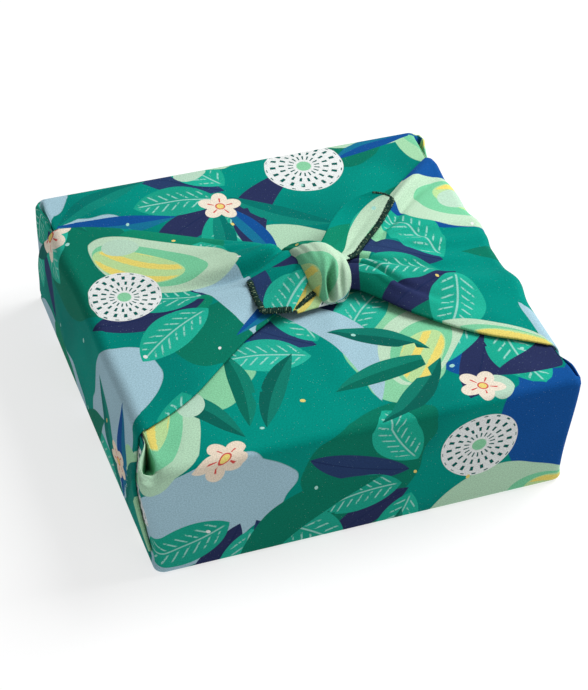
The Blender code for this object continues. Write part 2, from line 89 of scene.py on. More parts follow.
# The pleat at each upright edge: how far its visible edge and its hidden fold are from the front or back wall,
# at these heights.
PLEAT_HEIGHTS = mm((12, 19, 30, 44, 60, 75.5))
PLEATS = {name: (mm(edge), mm(hidden)) for name, edge, hidden in (
    ("front left", (9, 20, 31, 36, 34, 33), (13, 32, 52, 66, 78, 84)),
    ("back left", (7, 7.2, 8.2, 12, 22, 36), (11.5, 18, 30, 46, 64, 82)),
    ("back right", (8, 13, 22, 29, 33, 34), (12, 26, 44, 62, 74, 82)),
    ("front right", (8, 12, 18, 24, 27, 28), (12, 24, 40, 58, 70, 80)),
)}
PLEAT_FOOT = 0.012         # the pleats start here, over a plain step in the cloth
STEP_HEIGHT = 0.0075       # top of that step, and its width along the side wall
STEP_WIDTH = 0.0088

# Each corner. Columns: the signs of its x and y, how far the wall cloth flares out at the top, and how far the
# lid cloth reaches out over it.
CORNERS = {
    "front left": (-1, -1, 0.0090, 0.0006),
    "back left": (-1, 1, 0.0018, 0.0),
    "back right": (1, 1, 0.0058, 0.0012),
    "front right": (1, -1, 0.0040, 0.0030),
}

# The side flaps on the lid, by distance from the middle of the lid. "front" and "back" are the y of the folded
# edges, the lifts are heights over a flap that lies flat, "crown" is the arch between the edges, and "under" is
# the width of the turned-under cloth. These tables, and the ones below that are given to mm(), are in millimetres.
FLAP = ("x", "front", "back", "front lift", "back lift", "crown", "under")
LEFT_FLAP = table(FLAP, (
    (119.2, -90.5, 88, 0, 0, 0, 82), (106, -84.5, 85, 0.4, 0.6, 0.4, 78), (88, -74, 77.5, 0.8, 1.4, 1.8, 69),
    (63, -53.5, 64, 1, 2.2, 4.5, 53), (44, -38, 52, 1.2, 3.6, 7.5, 38), (26, -27, 40, 2, 6, 10, 24),
    (10, -15, 27, 5, 9, 8.5, 8), (-6, -10, 12, 6, 9, 6, 4),
))
RIGHT_FLAP = table(FLAP, (
    (119.2, -93, 89, 0, 1.2, 0, 83), (106, -85, 77.5, 0.4, 3, 0.6, 74), (88, -74.5, 62, 0.8, 4, 2.2, 62),
    (70, -60, 45, 1.2, 4.6, 4.5, 47), (54, -45.5, 27.5, 2.4, 5.6, 7, 32), (40, -30, 11, 4, 6.6, 8.5, 16),
    (29, -20, 0, 5, 8, 7, 8), (18, -16, -3, 5, 8, 5, 4),
))
LEFT_PEAK = 0.66           # where each side flap arches highest, from its front edge to its back edge
RIGHT_PEAK = 0.48

# Soft creases of the side flaps. Each is a line of points; a positive depth is a trough and a negative one a
# ridge. Columns: distance from the middle of the lid, y, depth, width.
LEFT_CREASES = [mm(line) for line in (
    ((4, 16.5, 5, 2.4), (12, 12.5, 5.8, 2.8), (25, 7.4, 6.4, 3), (38, 5.9, 6, 3.4), (54, 7.2, 4.6, 4.4),
     (68.5, 8.4, 3.2, 6), (92, 11.5, 1.4, 8.5), (110, 14, 0, 11)),
    ((6, 20, -1, 3), (25, 14, -2, 3.6), (40, 13.5, -1.8, 4), (60, 15, -1, 5.5), (85, 17, 0, 8)),
    ((18, -1, 1.4, 1.5), (30, -2, 1.8, 1.7), (40.5, -1.5, 1.6, 2), (56.6, 0.4, 1, 2.6), (72, 0.6, 0, 4)),
    ((8, 23, 1.8, 1.6), (26, 23.5, 1.4, 2.2), (45, 26, 0.8, 3), (66, 29, 0, 5)),
    ((14, 26.2, 1, 1.4), (30, 33, 1.2, 2.2), (50, 42, 0.5, 3.6), (70, 50, 0, 6)),
    ((12, -6, 1.6, 1.8), (28, -14, 1.4, 3), (50, -29, 0.4, 5), (64, -40, 0, 7)),
)]
RIGHT_CREASES = [mm(line) for line in (
    ((30, 1, 3.6, 1.6), (36, -1.4, 4.2, 1.8), (54, -8, 3.4, 2.6), (74, -10.8, 3.4, 4.4), (90, -16.5, 3, 6.2),
     (119, -17, 1.8, 8.5)),
    ((30, -5, 3, 1.6), (38, -8.5, 4.6, 2), (44.7, -13, 4.8, 2.6), (51, -20.5, 4.2, 3.2), (57.2, -28, 3.4, 4),
     (75.5, -42.5, 2.2, 6.2), (100, -53, 0.4, 9)),
    ((34, 6, 1, 1.4), (50, 13, 1.6, 2), (60, 16, 2, 2.6), (72.7, 16, 1.8, 3.2), (101.4, 15, 1.2, 4.6),
     (119, 15, 0.4, 6)),
    ((60, 9, 0.4, 1.8), (72, 6.2, 1.6, 2.4), (83, 1, 2.2, 3.2), (106, -0.8, 1.8, 4.2), (119, 0, 1.2, 5.5)),
    ((42, 11, 0.8, 1.8), (60, 24, 1.4, 3), (80, 34, 1.2, 5), (100, 40, 0.8, 7), (119, 38, 0.6, 8)),
    ((40, -16, -0.6, 2.4), (51, -30, -1.2, 3.4), (63, -37, -1.2, 4.4), (78, -48, -0.6, 6), (95, -58, 0, 8)),
    ((66, -19, -0.6, 4), (88, -28, -1.8, 6.5), (119, -36, -2, 9.5)),
    ((62, 11.5, -0.4, 2), (80, 9, -1.4, 3.2), (100, 7.5, -1.6, 4), (119, 8, -1.4, 5)),
    ((56, 19.5, -0.4, 2.4), (75, 23, -1.8, 3.6), (97, 23, -2, 5.5), (119, 22, -1.8, 7.5)),
    ((40, 5, -0.8, 3), (54, 19, -2.6, 4), (70, 37, -3.6, 4.2), (88, 55, -3.8, 4.2), (106, 71.5, -2.8, 4.4),
     (119, 83, -1.2, 5)),
    ((52, 10, 0.8, 2.4), (71, 29.5, 2, 3.2), (82.6, 41, 2.4, 3.4), (100, 56, 2.2, 3.8), (119, 69, 1.4, 4.4)),
)]

# Where the side flaps' folds bulge out over the upper edges. Columns: side, y, how far, width.
EDGE_BULGES = ((1, 0.018, 0.0022, 0.012), (1, -0.036, 0.0024, 0.012), (1, 0.052, 0.0010, 0.012),
               (-1, 0.060, 0.0016, 0.018), (-1, -0.030, 0.0006, 0.020))
SLOT_END = ((-0.1255, -0.1240), (0.0062, 0.0060), 0.0042)    # the dent's middle, widths and depth
FRONT_FLAP_END = 0.0140    # y of the folds under the knot
BACK_FLAP_END = -0.0060
TIP_LENGTH = 0.122         # the turned-under tips, and how far each is folded back again
TIP_WIDTH = 0.150
TIP_BACK = 0.060
TIP_TAPER = 0.8            # the last row's width against the one before it
DIP_START = 0.0330         # the back flap dips between these, to lie under the front one's end
DIP_END = 0.0200
SIDE_TAPER = 0.985         # a lid flap's width beyond its hidden folds, against its width at them
UNDER_FLAP_DROP = 0.0022   # how much lower the wall cloth ends where a side flap runs over it
UNDER_FLAP_START = 0.012
UNDER_FLAP_EASE = 0.010
# The tuck of the wall cloth behind the upper edge: the share of it that has formed where the corner's rounding
# ends, the distance over which the rest of it forms, and its depth by distance from the corner.
FIRST_TUCK = {"front left": (0.45, 0.005)}
PLAIN_TUCK = (0.20, 0.009)
TUCKS = table(("from corner", "depth"), ((4, 4), (14, 10), (34, 24), (84, 32)))
LID_STRETCH = 1.1          # how much more flat cloth the rounding of an upper edge takes up: lid and side flaps
SIDE_STRETCH = 1.3
GATHER = 0.9               # and how much wider the side flaps' flat cloth is where it is gathered at the knot
EDGE_LIP = 0.0007          # how far a side flap's folded edge stands off the wall
LIP_WIDTH = 0.007          # the wall cloth eases back from that lip over this distance
LIP_FOOT = 0.016           # the lip starts at this height, grows over LIP_GROWTH and fades below the wall's top
LIP_GROWTH = 0.020
LIP_FADE = 0.012
CREASE_ROOM = 0.004        # a crease reaches its depth over this distance, and where the flap stands this high
FLOOR_BLEND = 0.0004       # creases stop softly at the layers below the flap
STRIP_GAP = 0.0005         # extra room over the turned-under strip, and how far from the edge it takes to grow
STRIP_GROWTH = 0.04
STRIP_LIMIT = 0.46         # widest strip, as a share of the flap
LID_EASE = 0.020           # the lid flaps' taper and waves grow over this distance
BULGE_AT = (0.104, 0.040)  # x and z at which the bulges start, and the distances over which they grow
BULGE_GROWTH = (0.018, 0.035)
SLOT_AT = 0.062            # height at which the dent starts, and the distance over which it grows
SLOT_GROWTH = 0.012

# Soft waves of the taut cloth: on a plane, from one point to another. Columns: the two points, height, width.
FRONT_WALL_WAVES = mm((
    (-118, 70, -30, 22, 1, 12), (122, 66, 50, 16, 1, 14), (-80, 40, 90, 44, -1, 20), (-125, 20, -100, 8, -0.8, 10),
    (20, 72, 70, 60, 0.5, 10),
))
FRONT_LID_WAVES = mm((
    (-110, -110, -45, -60, 1, 9), (112, -116, 50, -70, 1, 10), (-30, -100, 60, -95, -0.8, 16),
    (10, -36, -4, -85, 1, 7), (28, -34, 44, -80, 0.9, 8),
))
BACK_LID_WAVES = mm((
    (-100, 110, -50, 70, 1, 10), (95, 108, 40, 50, 1.1, 9), (-10, 34, -40, 90, 0.9, 8), (0, 110, 10, 60, -0.6, 16),
))
SIDE_WALL_WAVES = mm((
    (-85, 70, -40, 30, 0.9, 10), (85, 70, 50, 26, 0.9, 10), (-10, 74, 0, 40, -0.8, 14),
))

# Steps of the grids.
CORNER_STEPS = 6
INNER_STEPS = 13           # from the corner's rounding to the visible edge
BACK_STEPS = 4             # and on to the hidden fold
MIDDLE_STEPS = 7           # back from the hidden fold to the visible edge
FOLD_STEPS = 5             # round each of the two folds
SIDE_COLUMNS = INNER_STEPS + BACK_STEPS + 2 * FOLD_STEPS + MIDDLE_STEPS    # a corner's columns past its rounding
FRONT_STEPS = 72           # along the front and back walls, and along the side walls
SIDE_STEPS = 64
ROUND_STEPS = 8            # over an upper edge
WALL_STEPS = 28            # up a wall from the pleats' foot
FLAP_STATIONS = 72         # sections of a side flap
DIP_STEPS = 4              # a lid flap: to the dip and down it, on to its end, along its tip and back again
LID_STEPS = 11
TIP_STEPS = 7
TIP_BACK_STEPS = 4
STILL_ROWS = 4             # the last rows before its end have no waves


def ease(share):
    """0 up to 0 and 1 from 1 on, with a smooth rise between: share * share * (3 - 2 * share)."""
    share = np.clip(share, 0.0, 1.0)
    return share * share * (3 - 2 * share)


def curve(xs, ys, x):
    """A smooth line through points: cubic pieces whose slopes are the means of their neighbours' slopes."""
    order = np.argsort(xs)
    xs, ys = np.asarray(xs, float)[order], np.asarray(ys, float)[order]
    steps = np.diff(ys) / np.diff(xs)
    slopes = np.concatenate([steps[:1], (steps[1:] + steps[:-1]) / 2, steps[-1:]])
    slopes[1:-1][steps[1:] * steps[:-1] <= 0] = 0
    x = np.clip(x, xs[0], xs[-1])
    i = np.clip(np.searchsorted(xs, x) - 1, 0, len(xs) - 2)
    h = xs[i + 1] - xs[i]
    t = (x - xs[i]) / h
    rise = ys[i + 1] - ys[i]
    return (ys[i] + t * h * slopes[i] + t * t * (3 * rise - h * (2 * slopes[i] + slopes[i + 1]))
            + t ** 3 * (h * (slopes[i] + slopes[i + 1]) - 2 * rise))


def points(*parts):
    """The parts of points, such as x, y and z, brought to one shape and put together on a last axis."""
    return np.stack(np.broadcast_arrays(*parts), -1)


def quarter(steps):
    """Angles of a quarter turn, in so many steps."""
    return np.radians(np.linspace(0, 90, steps + 1))


def waves(rows, p, q):
    """Height of soft waves at (p, q): each falls off with the square of its distance from its line, as
    height * exp(-(distance / width) ** 2), and fades at its ends."""
    total = np.zeros(np.broadcast(p, q).shape)
    for p0, q0, p1, q1, height, width in rows:
        length = math.hypot(p1 - p0, q1 - q0)
        along = ((p - p0) * (p1 - p0) + (q - q0) * (q1 - q0)) / length ** 2
        off = ((q - q0) * (p1 - p0) - (p - p0) * (q1 - q0)) / length
        beyond = np.maximum(np.abs(along - 0.5) - 0.5, 0) * length
        total += height * np.exp(-(off ** 2 + beyond ** 2) / width ** 2)
    return total


def smooth_path(path, steps):
    """Catmull-Rom curves through the points of the first axis, with so many steps between two points."""
    before = np.concatenate([path[:1] * 2 - path[1:2], path[:-2]])
    start, end = path[:-1], path[1:]
    after = np.concatenate([path[2:], path[-1:] * 2 - path[-2:-1]])
    t = (np.arange(steps) / steps).reshape((1, steps) + (1,) * (path.ndim - 1))
    before, start, end, after = (a[:, None] for a in (before, start, end, after))
    body = 0.5 * (2 * start + (end - before) * t + (2 * before - 5 * start + 4 * end - after) * t ** 2
                  + (3 * start - before - 3 * end + after) * t ** 3)
    return np.concatenate([body.reshape((-1,) + path.shape[1:]), path[-1:]])


# --- the folded cloth ---
# A grid holds five numbers for each point: x, y and z in the folded shape, and u and v on the flat cloth, whose
# middle is under the middle of the box, with u along x and v along y.

class Wrap:
    """The folded cloth's grids, for one thickness of cloth and one distance from layer to layer."""

    def __init__(self, thickness, layer):
        self.layer = layer
        self.fold = layer / 2
        self.base_z = thickness / 2
        self.lid_z = LID_HEIGHT - thickness / 2
        self.wall_y = HALF_WIDTH - thickness / 2
        self.side_x = self.wall_y + layer
        self.inner_x = self.side_x - 2 * layer
        self.centre_x = self.inner_x - EDGE_ROUND
        self.centre_y = self.wall_y - EDGE_ROUND
        self.wall_top = self.lid_z - EDGE_ROUND
        self.lid_flat = HALF_WIDTH + LID_HEIGHT

    def swell(self, y, z):
        """How far a side wall stands out: a sine over its height, a parabola over its width."""
        across = np.maximum(0.0, 1 - (y / self.wall_y) ** 2)
        return SIDE_SWELL * np.sin(math.pi * np.clip(z / self.wall_top, 0, 1)) * across

    def flare(self, corner, z):
        """How far the wall cloth stands out at a corner: nothing at the pleats' foot, easing in to the top."""
        return CORNERS[corner][2] * ease((z - PLEAT_FOOT) / (self.wall_top - PLEAT_FOOT))

    def flare_share(self, along, edge):
        """The share of that along a side wall: it eases out before the pleat's visible edge."""
        return 1 - ease((along - EDGE_ROUND) / (0.85 * (edge - EDGE_ROUND)))

    def alongs(self, edge, hidden):
        """Distances along a side wall from its corner: to the visible edge, then on to the hidden fold."""
        first = np.arange(1, INNER_STEPS + 1) / INNER_STEPS
        second = np.arange(1, BACK_STEPS + 1) / BACK_STEPS
        edge, hidden = np.asarray(edge)[..., None], np.asarray(hidden)[..., None]
        return np.concatenate([EDGE_ROUND + (edge - EDGE_ROUND) * first, edge + (hidden - edge) * second], -1)

    def top_alongs(self, corner):
        """Those distances at the top of the wall."""
        edge, hidden = PLEATS[corner]
        return self.alongs(edge[-1], hidden[-1])

    def pleated_corner(self, corner, z):
        """Half a loop's corner at each height z, in the quadrant of positive x and y: round the upright edge,
        along the side wall to the hidden fold, back to the visible edge, and out to the side flap's layer."""
        edge, hidden = (curve(PLEAT_HEIGHTS, places, z) for places in PLEATS[corner])
        along = self.alongs(edge, hidden)
        edge, hidden, flare, rising = (a[:, None] for a in (edge, hidden, self.flare(corner, z), HALF_WIDTH + z))
        z, r = z[:, None], self.fold
        turn = quarter(CORNER_STEPS)[None]
        back = np.radians(180 * np.arange(1, FOLD_STEPS + 1) / FOLD_STEPS)[None]
        middle = np.arange(1, MIDDLE_STEPS + 1)[None] / MIDDLE_STEPS
        first, second = 0.3 * back / math.pi, 0.3 + 0.7 * middle
        u, v = self.wall_y + along[:, -1:], self.wall_y - edge - rising
        return np.concatenate([
            points(self.centre_x + flare + EDGE_ROUND * np.sin(turn), self.centre_y + EDGE_ROUND * np.cos(turn), z,
                   self.centre_x + EDGE_ROUND * turn, rising),
            points(self.inner_x + flare * self.flare_share(along, edge), self.wall_y - along, z,
                   self.centre_x + EDGE_ROUND * (math.pi / 2 - 1) + along, rising),
            points(self.inner_x + r - r * np.cos(back), self.wall_y - hidden - r * np.sin(back), z,
                   u + (rising - u) * first, rising + v * first),
            points(self.inner_x + self.layer, self.wall_y - hidden + (hidden - edge) * middle, z,
                   u + (rising - u) * second, rising + v * second),
            points(self.inner_x + 3 * r - r * np.cos(back), self.wall_y - edge + r * np.sin(back), z,
                   rising, self.wall_y - edge + r * np.sin(back)),
        ], 1)

    def plain_corner(self, z, inset, step):
        """The same corner near the floor, where no cloth is folded. step is 1 where the side wall stands one
        pleat further out than the corner, and 0 at the floor."""
        z, inset, step = (np.asarray(a, float)[:, None] for a in (z, inset, step))
        inner = (1 - step) * self.wall_y + step * self.inner_x - inset
        outer = (1 - step) * self.wall_y + step * self.side_x - inset
        front = self.wall_y - inset - EDGE_ROUND
        turn = quarter(CORNER_STEPS)[None]
        share = np.arange(1, SIDE_COLUMNS + 1)[None] / SIDE_COLUMNS
        x = np.concatenate([inner - EDGE_ROUND * (1 - np.sin(turn)),
                            inner + (outer - inner) * ease(share * 1.3 - 0.2)], 1)
        y = np.concatenate([front + EDGE_ROUND * np.cos(turn), front - STEP_WIDTH * share], 1)
        rising = HALF_WIDTH + z
        blend = np.concatenate([0 * turn, share], 1)
        u = (1 - blend) * np.where(blend > 0, HALF_WIDTH + STEP_WIDTH * blend, x)
        return points(x, y, z, u + blend * rising, (1 - blend) * rising + blend * y)

    def lip_height(self, z):
        """The share of the lip at a height: it eases in over its growth, and out over its fade."""
        return ease((z - LIP_FOOT) / LIP_GROWTH) * ease((self.wall_top - z) / LIP_FADE)

    def side(self, start, end):
        """A side wall between two visible edges, its cloth easing back from the lips of both folds."""
        grid = between_columns(start[:, -1], end[:, -1], SIDE_STEPS)
        near = np.minimum(np.abs(grid[..., 1] - start[:, -1:, 1]), np.abs(grid[..., 1] - end[:, -1:, 1]))
        flat = self.side_x + EDGE_LIP * self.lip_height(grid[..., 2]) * np.exp(-(near / LIP_WIDTH) ** 2)
        plain = grid[..., 2] < STEP_HEIGHT
        grid[..., 0] = np.where(plain, grid[..., 0], np.sign(grid[..., 0]) * flat)
        return grid

    def loops(self):
        """The walls as closed loops, one row for each height: (rows, columns, 5). Between the plain step and
        the pleats' foot the rows are straight blends of the two."""
        turn = quarter(4)
        middle_z = (STEP_HEIGHT + self.base_z + FOOT_ROUND) / 2
        foot = self.plain_corner([*(self.base_z + FOOT_ROUND * (1 - np.cos(turn))), middle_z, STEP_HEIGHT],
                                 [*(FOOT_ROUND * (1 - np.sin(turn))), 0.0, 0.0], [0.0] * 5 + [0.5, 1.0])
        blend = np.array([0.25, 0.5, 0.75])[:, None, None]
        z = np.linspace(PLEAT_FOOT, self.wall_top, WALL_STEPS + 1)
        placed = {}
        for name, (sx, sy, _, _) in CORNERS.items():
            pleated = self.pleated_corner(name, z)
            between = foot[-1:] * (1 - blend) + pleated[:1] * blend
            corner = np.concatenate([foot, between, pleated])
            lip = np.clip((np.arange(corner.shape[1]) - corner.shape[1] + FOLD_STEPS + 1) / FOLD_STEPS, 0, 1)
            corner[..., 0] += EDGE_LIP * lip * self.lip_height(corner[:, :1, 2])
            placed[name] = corner * np.array([sx, sy, 1, sx, sy])
        fl, bl, br, fr = (placed[name] for name in ("front left", "back left", "back right", "front right"))
        loop = np.concatenate([
            fl, self.side(fl, bl), bl[:, ::-1], between_columns(bl[:, 0], br[:, 0], FRONT_STEPS), br,
            self.side(br, fr), fr[:, ::-1], between_columns(fr[:, 0], fl[:, 0], FRONT_STEPS)], 1)
        x, y, z = loop[..., 0], loop[..., 1], loop[..., 2]
        on_side = (np.abs(x) > self.centre_x) & (np.abs(y) < self.centre_y)
        height = np.sin(math.pi * np.clip(z / self.wall_top, 0, 1))
        out = self.swell(y, z) + waves(SIDE_WALL_WAVES, y, z) * height
        loop[..., 0] += np.where(on_side, np.sign(x) * out, 0)
        inside = ease((self.centre_x - np.abs(x)) / 0.01)
        out = inside * np.sign(-y) * waves(FRONT_WALL_WAVES, x * np.sign(-y), z) * height
        loop[..., 1] -= np.where(~on_side, out, 0)
        return loop

    def tuck(self, corner):
        """The cloth over a side wall's upper edge near a corner: up to a fold, down between the layers and up
        again onto the lid. Rows go over the edge, and columns run from the corner's rounding along the wall."""
        sx, sy, wall, lid = CORNERS[corner]
        edge = PLEATS[corner][0][-1]
        along = np.concatenate([[EDGE_ROUND], self.top_alongs(corner)])
        share = self.flare_share(along, edge)
        out, lid_out = wall * share, lid * share
        top = self.lid_z - UNDER_FLAP_DROP * ease((along - edge + UNDER_FLAP_START) / UNDER_FLAP_EASE)
        outer, inner = self.inner_x + out, self.inner_x - 2 * self.layer + lid_out
        width = outer - self.layer - inner
        depth = curve(TUCKS["from corner"], TUCKS["depth"], along)
        low = self.lid_z - 3 * self.fold - depth
        r, lay = self.fold, self.layer
        line = ((outer, self.wall_top), (outer, top - 1.4 * r), (outer - 0.3 * r, top - 0.3 * r),
                (outer - r, top), (outer - 1.7 * r, top - 0.3 * r), (outer - lay, top - 1.4 * r),
                (outer - lay - 0.2 * width, low), (inner + 0.4 * width, low - r), (inner, low),
                (inner, self.lid_z - 0.0016), (inner - 0.0004, self.lid_z - 0.0004),
                (inner - 0.0016, self.lid_z), (self.centre_x + lid_out, self.lid_z))
        fine = smooth_path(np.array([points(x, z + 0 * along) for x, z in line]), 3)
        steps = len(fine) - 1
        angle = np.radians(90 * np.arange(steps + 1) / steps)[:, None]
        plain = points(self.centre_x + lid_out + (EDGE_ROUND + out - lid_out) * np.cos(angle),
                       self.wall_top + EDGE_ROUND * np.sin(angle))
        first, reach = FIRST_TUCK.get(corner, PLAIN_TUCK)
        weight = (first + (1 - first) * ease((along - EDGE_ROUND) / reach))[None, :, None]
        profile = fine * weight + plain * (1 - weight)
        run = self.centre_x + EDGE_ROUND * (math.pi / 2 - 1) + along
        rise = (np.arange(steps + 1) / steps)[:, None]
        u = run + (self.centre_x - run) * rise
        v = HALF_WIDTH + self.wall_top + (self.lid_flat + along - HALF_WIDTH - self.wall_top) * rise
        tucked = points(profile[..., 0], self.wall_y - along, profile[..., 1], u, v)
        columns = []
        for turn in quarter(CORNER_STEPS)[:-1]:
            snapped = np.round(ROUND_STEPS * np.arange(steps + 1) / steps) / ROUND_STEPS
            angle = np.radians(90) * (snapped if turn == 0 else np.arange(steps + 1) / steps)
            swing = EDGE_ROUND * np.cos(angle)
            x = self.centre_x + wall + (lid - wall) * np.sin(angle) + swing * np.sin(turn)
            z = self.wall_top + EDGE_ROUND * np.sin(angle)
            rise_v = HALF_WIDTH + self.wall_top + EDGE_ROUND * angle * LID_STRETCH
            columns.append(points(x, self.centre_y + swing * np.cos(turn), z,
                                  self.centre_x + EDGE_ROUND * turn * np.cos(angle), rise_v))
        return np.concatenate([np.stack(columns, 1), tucked], 1) * np.array([sx, sy, 1, sx, sy])

    def lid_flap(self, side, left, right, end, level, relief):
        """The front (side -1) or back (side 1) flap: over the upper edge, across the lid, and its tip turned
        under. level is how far it dips to lie under the other flap's end."""
        angle = quarter(ROUND_STEPS)
        starts, stops = [], []
        for name, sign, found in ((left, -1, starts), (right, 1, stops)):
            _, _, wall, lid = CORNERS[name]
            x = self.centre_x + wall + (lid - wall) * np.sin(angle)
            u = sign * self.centre_x
            found.append(points(sign * x, side * (self.centre_y + EDGE_ROUND * np.cos(angle)),
                                self.wall_top + EDGE_ROUND * np.sin(angle), u,
                                side * (HALF_WIDTH + self.wall_top + EDGE_ROUND * angle * LID_STRETCH)))
            along = self.top_alongs(name)
            reach = self.centre_x + lid * self.flare_share(along, PLEATS[name][0][-1])
            found.append(points(sign * reach, side * (self.wall_y - along), self.lid_z, u,
                                side * (self.lid_flat + along)))
        start, stop = np.concatenate(starts), np.concatenate(stops)
        edge = np.concatenate([start[:, None], between_columns(start, stop, FRONT_STEPS), stop[:, None]], 1)
        last = edge[-1]
        hidden_y = abs(last[:, 1]).mean()
        low, under = self.lid_z - level, self.lid_z - level - self.layer
        ys = np.concatenate([side * np.linspace(hidden_y, DIP_START, DIP_STEPS + 1)[1:],
                             np.linspace(side * DIP_START, side * DIP_END, DIP_STEPS + 1)[1:],
                             np.linspace(side * DIP_END, end, LID_STEPS + 1)[1:]])
        zs = self.lid_z - level * ease((DIP_START - side * ys) / (DIP_START - DIP_END))
        turn = np.radians([60, 120, 180])
        ys = np.concatenate([ys, end - side * self.fold * np.sin(turn)])
        zs = np.concatenate([zs, low - self.fold + self.fold * np.cos(turn)])
        blend = ease((hidden_y - side * ys) / LID_EASE)[:, None]
        xs = last[:, 0] * (1 - blend) + SIDE_TAPER * last[:, 0] * blend
        # The tip runs one layer lower, and its own fold is two points of a half circle.
        tip, back = np.linspace(0, 1, TIP_STEPS + 1)[1:], np.linspace(0, 1, TIP_BACK_STEPS + 1)[1:]
        narrow = np.linspace(0, 1, TIP_STEPS + TIP_BACK_STEPS + 2)[1:, None]
        narrow = 1 - narrow * (1 - TIP_WIDTH / (2 * self.centre_x))
        narrow = np.concatenate([narrow, narrow[-1:] * TIP_TAPER])
        xs = np.concatenate([xs, SIDE_TAPER * last[:, 0] * narrow])
        travel = np.concatenate([TIP_LENGTH * tip, TIP_LENGTH + np.array([0.3, 0.7]) * self.layer,
                                 TIP_LENGTH + self.layer + TIP_BACK * back])
        travelled = np.concatenate([HALF_WIDTH - side * ys, HALF_WIDTH - side * end + travel])
        reach = np.concatenate([TIP_LENGTH * tip, TIP_LENGTH + np.array([0.87, 0.87]) * self.fold,
                                TIP_LENGTH - TIP_BACK * back])
        ys = np.concatenate([ys, end + side * reach])
        drop = np.concatenate([0 * tip, [0.25, 0.75], 1 + 0 * back]) * self.layer
        zs = np.concatenate([zs, under - drop])
        rest = points(xs, ys[:, None], zs[:, None], xs, side * (self.lid_flat + travelled[:, None]))
        grid = np.concatenate([edge, rest])
        on_top = np.zeros(len(grid))
        on_top[ROUND_STEPS:len(edge) + 2 * DIP_STEPS + LID_STEPS - STILL_ROWS] = 1
        fade = ease((self.centre_x - np.abs(grid[..., 0])) / LID_EASE) * on_top[:, None]
        fade = fade * ease((HALF_WIDTH - abs(grid[..., 1])) / LID_EASE)
        grid[..., 2] += waves(relief, grid[..., 0], grid[..., 1]) * fade
        return grid

    def section(self, flap, creases, x, u, peak):
        """Height and place of a side flap: at distance x from the middle of the lid, and at u from its front
        edge (0) to its back edge (1). z is the lid's height, two layers, the edges' lifts, an arch
        (u / peak) ** rise * ((1 - u) / (1 - peak)) ** fall, and the creases."""
        v = {name: curve(flap["x"], flap[name], x) for name in FLAP[1:]}
        y = v["front"] + (v["back"] - v["front"]) * u
        rise, fall = max(1, peak / (1 - peak)), max(1, (1 - peak) / peak)
        inside = np.clip(u, 0, 1)
        arch = (inside / peak) ** rise * ((1 - inside) / (1 - peak)) ** fall
        z = self.lid_z + 2 * self.layer + v["front lift"] * (1 - u) + v["back lift"] * u + v["crown"] * arch
        room = np.minimum(1, (z - self.lid_z) / CREASE_ROOM)
        for crease in creases:
            px, py, depth, width = crease.T
            off = (y - curve(px, py, x)) / curve(px, width, x)
            reach = ease((np.clip(x, px.min() - CREASE_ROOM, px.max()) - px.min() + CREASE_ROOM) / CREASE_ROOM)
            trough = curve(px, depth, x) * reach * np.exp(-off ** 2)
            z = z - np.where(trough > 0, trough * room, trough)
        floor = self.lid_z + 2 * self.layer
        z = floor + np.maximum(z - floor, 0) + FLOOR_BLEND * np.exp(np.minimum(z - floor, 0) / FLOOR_BLEND)
        gather = 1 + GATHER * np.clip((HALF_WIDTH - x) / HALF_WIDTH, 0, 1) ** 2
        return y, z, y * gather

    def side_flap(self, side, loop, flap, creases, peak):
        """The left (side -1) or right (side 1) flap, from the walls' top loop over the edge and up to the
        knot, with both edges turned under: rows are sections across the flap. The turned-under strip runs one
        layer under the flap, and a half circle joins the two."""
        x = np.linspace(flap["x"][0], flap["x"][-1], FLAP_STATIONS)[:, None]
        spacing = self.layer + STRIP_GAP * ease((flap["x"][0] - x) / STRIP_GROWTH)
        front, back = (self.section(flap, creases, x, end, peak)[0] for end in (0.0, 1.0))
        under = np.minimum(curve(flap["x"], flap["under"], x) / (back - front), STRIP_LIMIT)

        def line(u):
            """Points, upward normals and flat coordinates of the flap's outer face."""
            y, z, v = self.section(flap, creases, x, u, peak)
            step = 1e-3
            y1, z1, _ = self.section(flap, creases, x, u + step, peak)
            y0, z0, _ = self.section(flap, creases, x, u - step, peak)
            length = np.hypot(y1 - y0, z1 - z0)
            return y, z, v, -(z1 - z0) / length, (y1 - y0) / length

        def strip(end):
            """The turned-under cloth at an edge: as high as the lowest of the flap near it, less the spacing."""
            shares = np.linspace(1, 0, MIDDLE_STEPS + 1)[None, :-1]
            u = under * shares if end == 0 else 1 - under * shares
            y, z, v = line(u)[:3]
            for near in np.linspace(-1, 1, 9):
                z = np.minimum(z, line(np.clip(u + near * under / MIDDLE_STEPS, 0, 1))[1])
            edge_v = line(np.full_like(x, float(end)))[2]
            return points(y, z - spacing, 2 * edge_v - v)

        def hairpin(end):
            """A half circle of the spacing's width, from the strip round to the flap's outer face."""
            y, z, v, ny, nz = line(np.full_like(x, float(end)))
            way = 1 if end == 0 else -1
            turn = np.radians(180 - 180 * np.arange(FOLD_STEPS) / FOLD_STEPS)[None]
            radius = spacing / 2
            cy, cz = y - ny * radius, z - nz * radius
            return points(cy + radius * (ny * np.cos(turn) - way * nz * np.sin(turn)),
                          cz + radius * (nz * np.cos(turn) + way * ny * np.sin(turn)), v)

